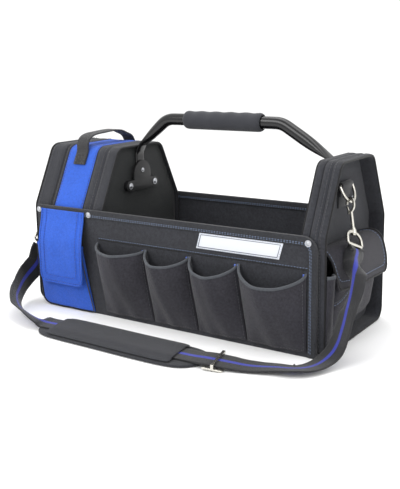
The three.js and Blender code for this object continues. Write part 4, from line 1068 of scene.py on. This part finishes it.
loop_rise = 17
loop_arch = [
    (-1.08, 0.1), (-0.98, 0.6), (-0.78, 0.88), (-0.35, 1), (0.2, 1.06), (0.45, 0.98), (0.68, 0.7), (0.95, 0.28),
]
loop_line = [Vector((loop_middle, -on_slope(z), z)) for z in sewn_ups]
loop_seat = end_height + loop_out
loop_line += [
    Vector((loop_middle, t * end_top_half, loop_seat + rise * loop_rise)) for t, rise in loop_arch
]
loop_line += [Vector((loop_middle, on_slope(z), z)) for z in reversed(sewn_ups)]


def grab_loop(u, v):
    spot = flow_at(loop_line, v)
    ahead = flow_at(loop_line, min(1, v + 1e-3)) - flow_at(loop_line, max(0, v - 1e-3))
    off = Vector((1, 0, 0)).cross(ahead.normalized())
    return spot + Vector((loop_width * (u - 0.5), 0, 0)) + off * loop_thick / 2


loop = laid_grid("grab_loop_webbing", 8, 110, grab_loop)
worked(loop, "SOLIDIFY", thickness=loop_thick * MM, offset=-1)
worked(loop, "BEVEL", width=0.5 * MM, segments=2, limit_method="ANGLE", angle_limit=math.radians(50))
dressed(smoothed(loop, 50), plain_webbing, "webbing", "grab_loop")
for end, v0, v1 in (("front", 0.012, 0.118), ("back", 0.988, 0.882)):
    box = [(0.12, v0), (0.88, v0), (0.88, v1), (0.12, v1), (0.12, v0), (0.88, v1), (0.12, v1), (0.88, v0)]
    path = []
    for a, b in zip(box, box[1:]):
        path += [Vector(grab_loop(u, v)) + outward(grab_loop, u, v) * 0.3 for u, v in line_of(a, b, 6)]
    sewn(f"grab_loop_box_{end}", path, dark_thread, "webbing", 2.6, 1.0, 0.4)

# Webbing tabs, sewn flat to the ends, hold a D ring each in their folds.
for side in ("right", "left"):
    tab = traced(f"strap_tab_{side}", f"strap_tab_{side}_webbing")
    worked(tab, "BEVEL", width=0.5 * MM, segments=2, limit_method="ANGLE", angle_limit=math.radians(60))
    dressed(smoothed(tab, 50), plain_webbing, "webbing", f"strap_tab_{side}")


# Rings, hooks and eyes are cast and plated, with every edge soft.
def cast(node, body="tote", grain=0.3, rounds=9, fuller=0.45):
    """A casting made from a plain solid: its facets are melted to one smooth skin."""
    piece = traced(node, node + "_casting", fuller)
    worked(piece, "REMESH", mode="VOXEL", voxel_size=grain * MM)
    worked(piece, "SMOOTH", factor=0.6, iterations=rounds)
    smoothed(piece, 80)
    return dressed(piece, nickel, "nickel", node, body=body)


for side in ("right", "left"):
    cast(f"d_ring_{side}")
    cast(f"hook_{side}", fuller=0.2)
    cast(f"hook_eye_{side}")
    cast(f"hook_gate_{side}", f"gate_{side}", 0.3, 5, -0.15)
cast("strap_slider", rounds=3, fuller=0.12)

# The shoulder pad is a long soft pad, with a padded sleeve sewn over it that the strap passes under.
pad = traced("shoulder_pad_base", "shoulder_pad_cushion", 0.1)
worked(pad, "SUBSURF", levels=3, render_levels=3)
dressed(smoothed(pad, 60), pad_grey, "pad_cloth", "shoulder_pad_base")
sleeve = traced("shoulder_pad_cover", "shoulder_pad_sleeve")
worked(sleeve, "SUBSURF", levels=3, render_levels=3)
dressed(smoothed(sleeve, 60), pad_grey, "pad_cloth", "shoulder_pad_cover")
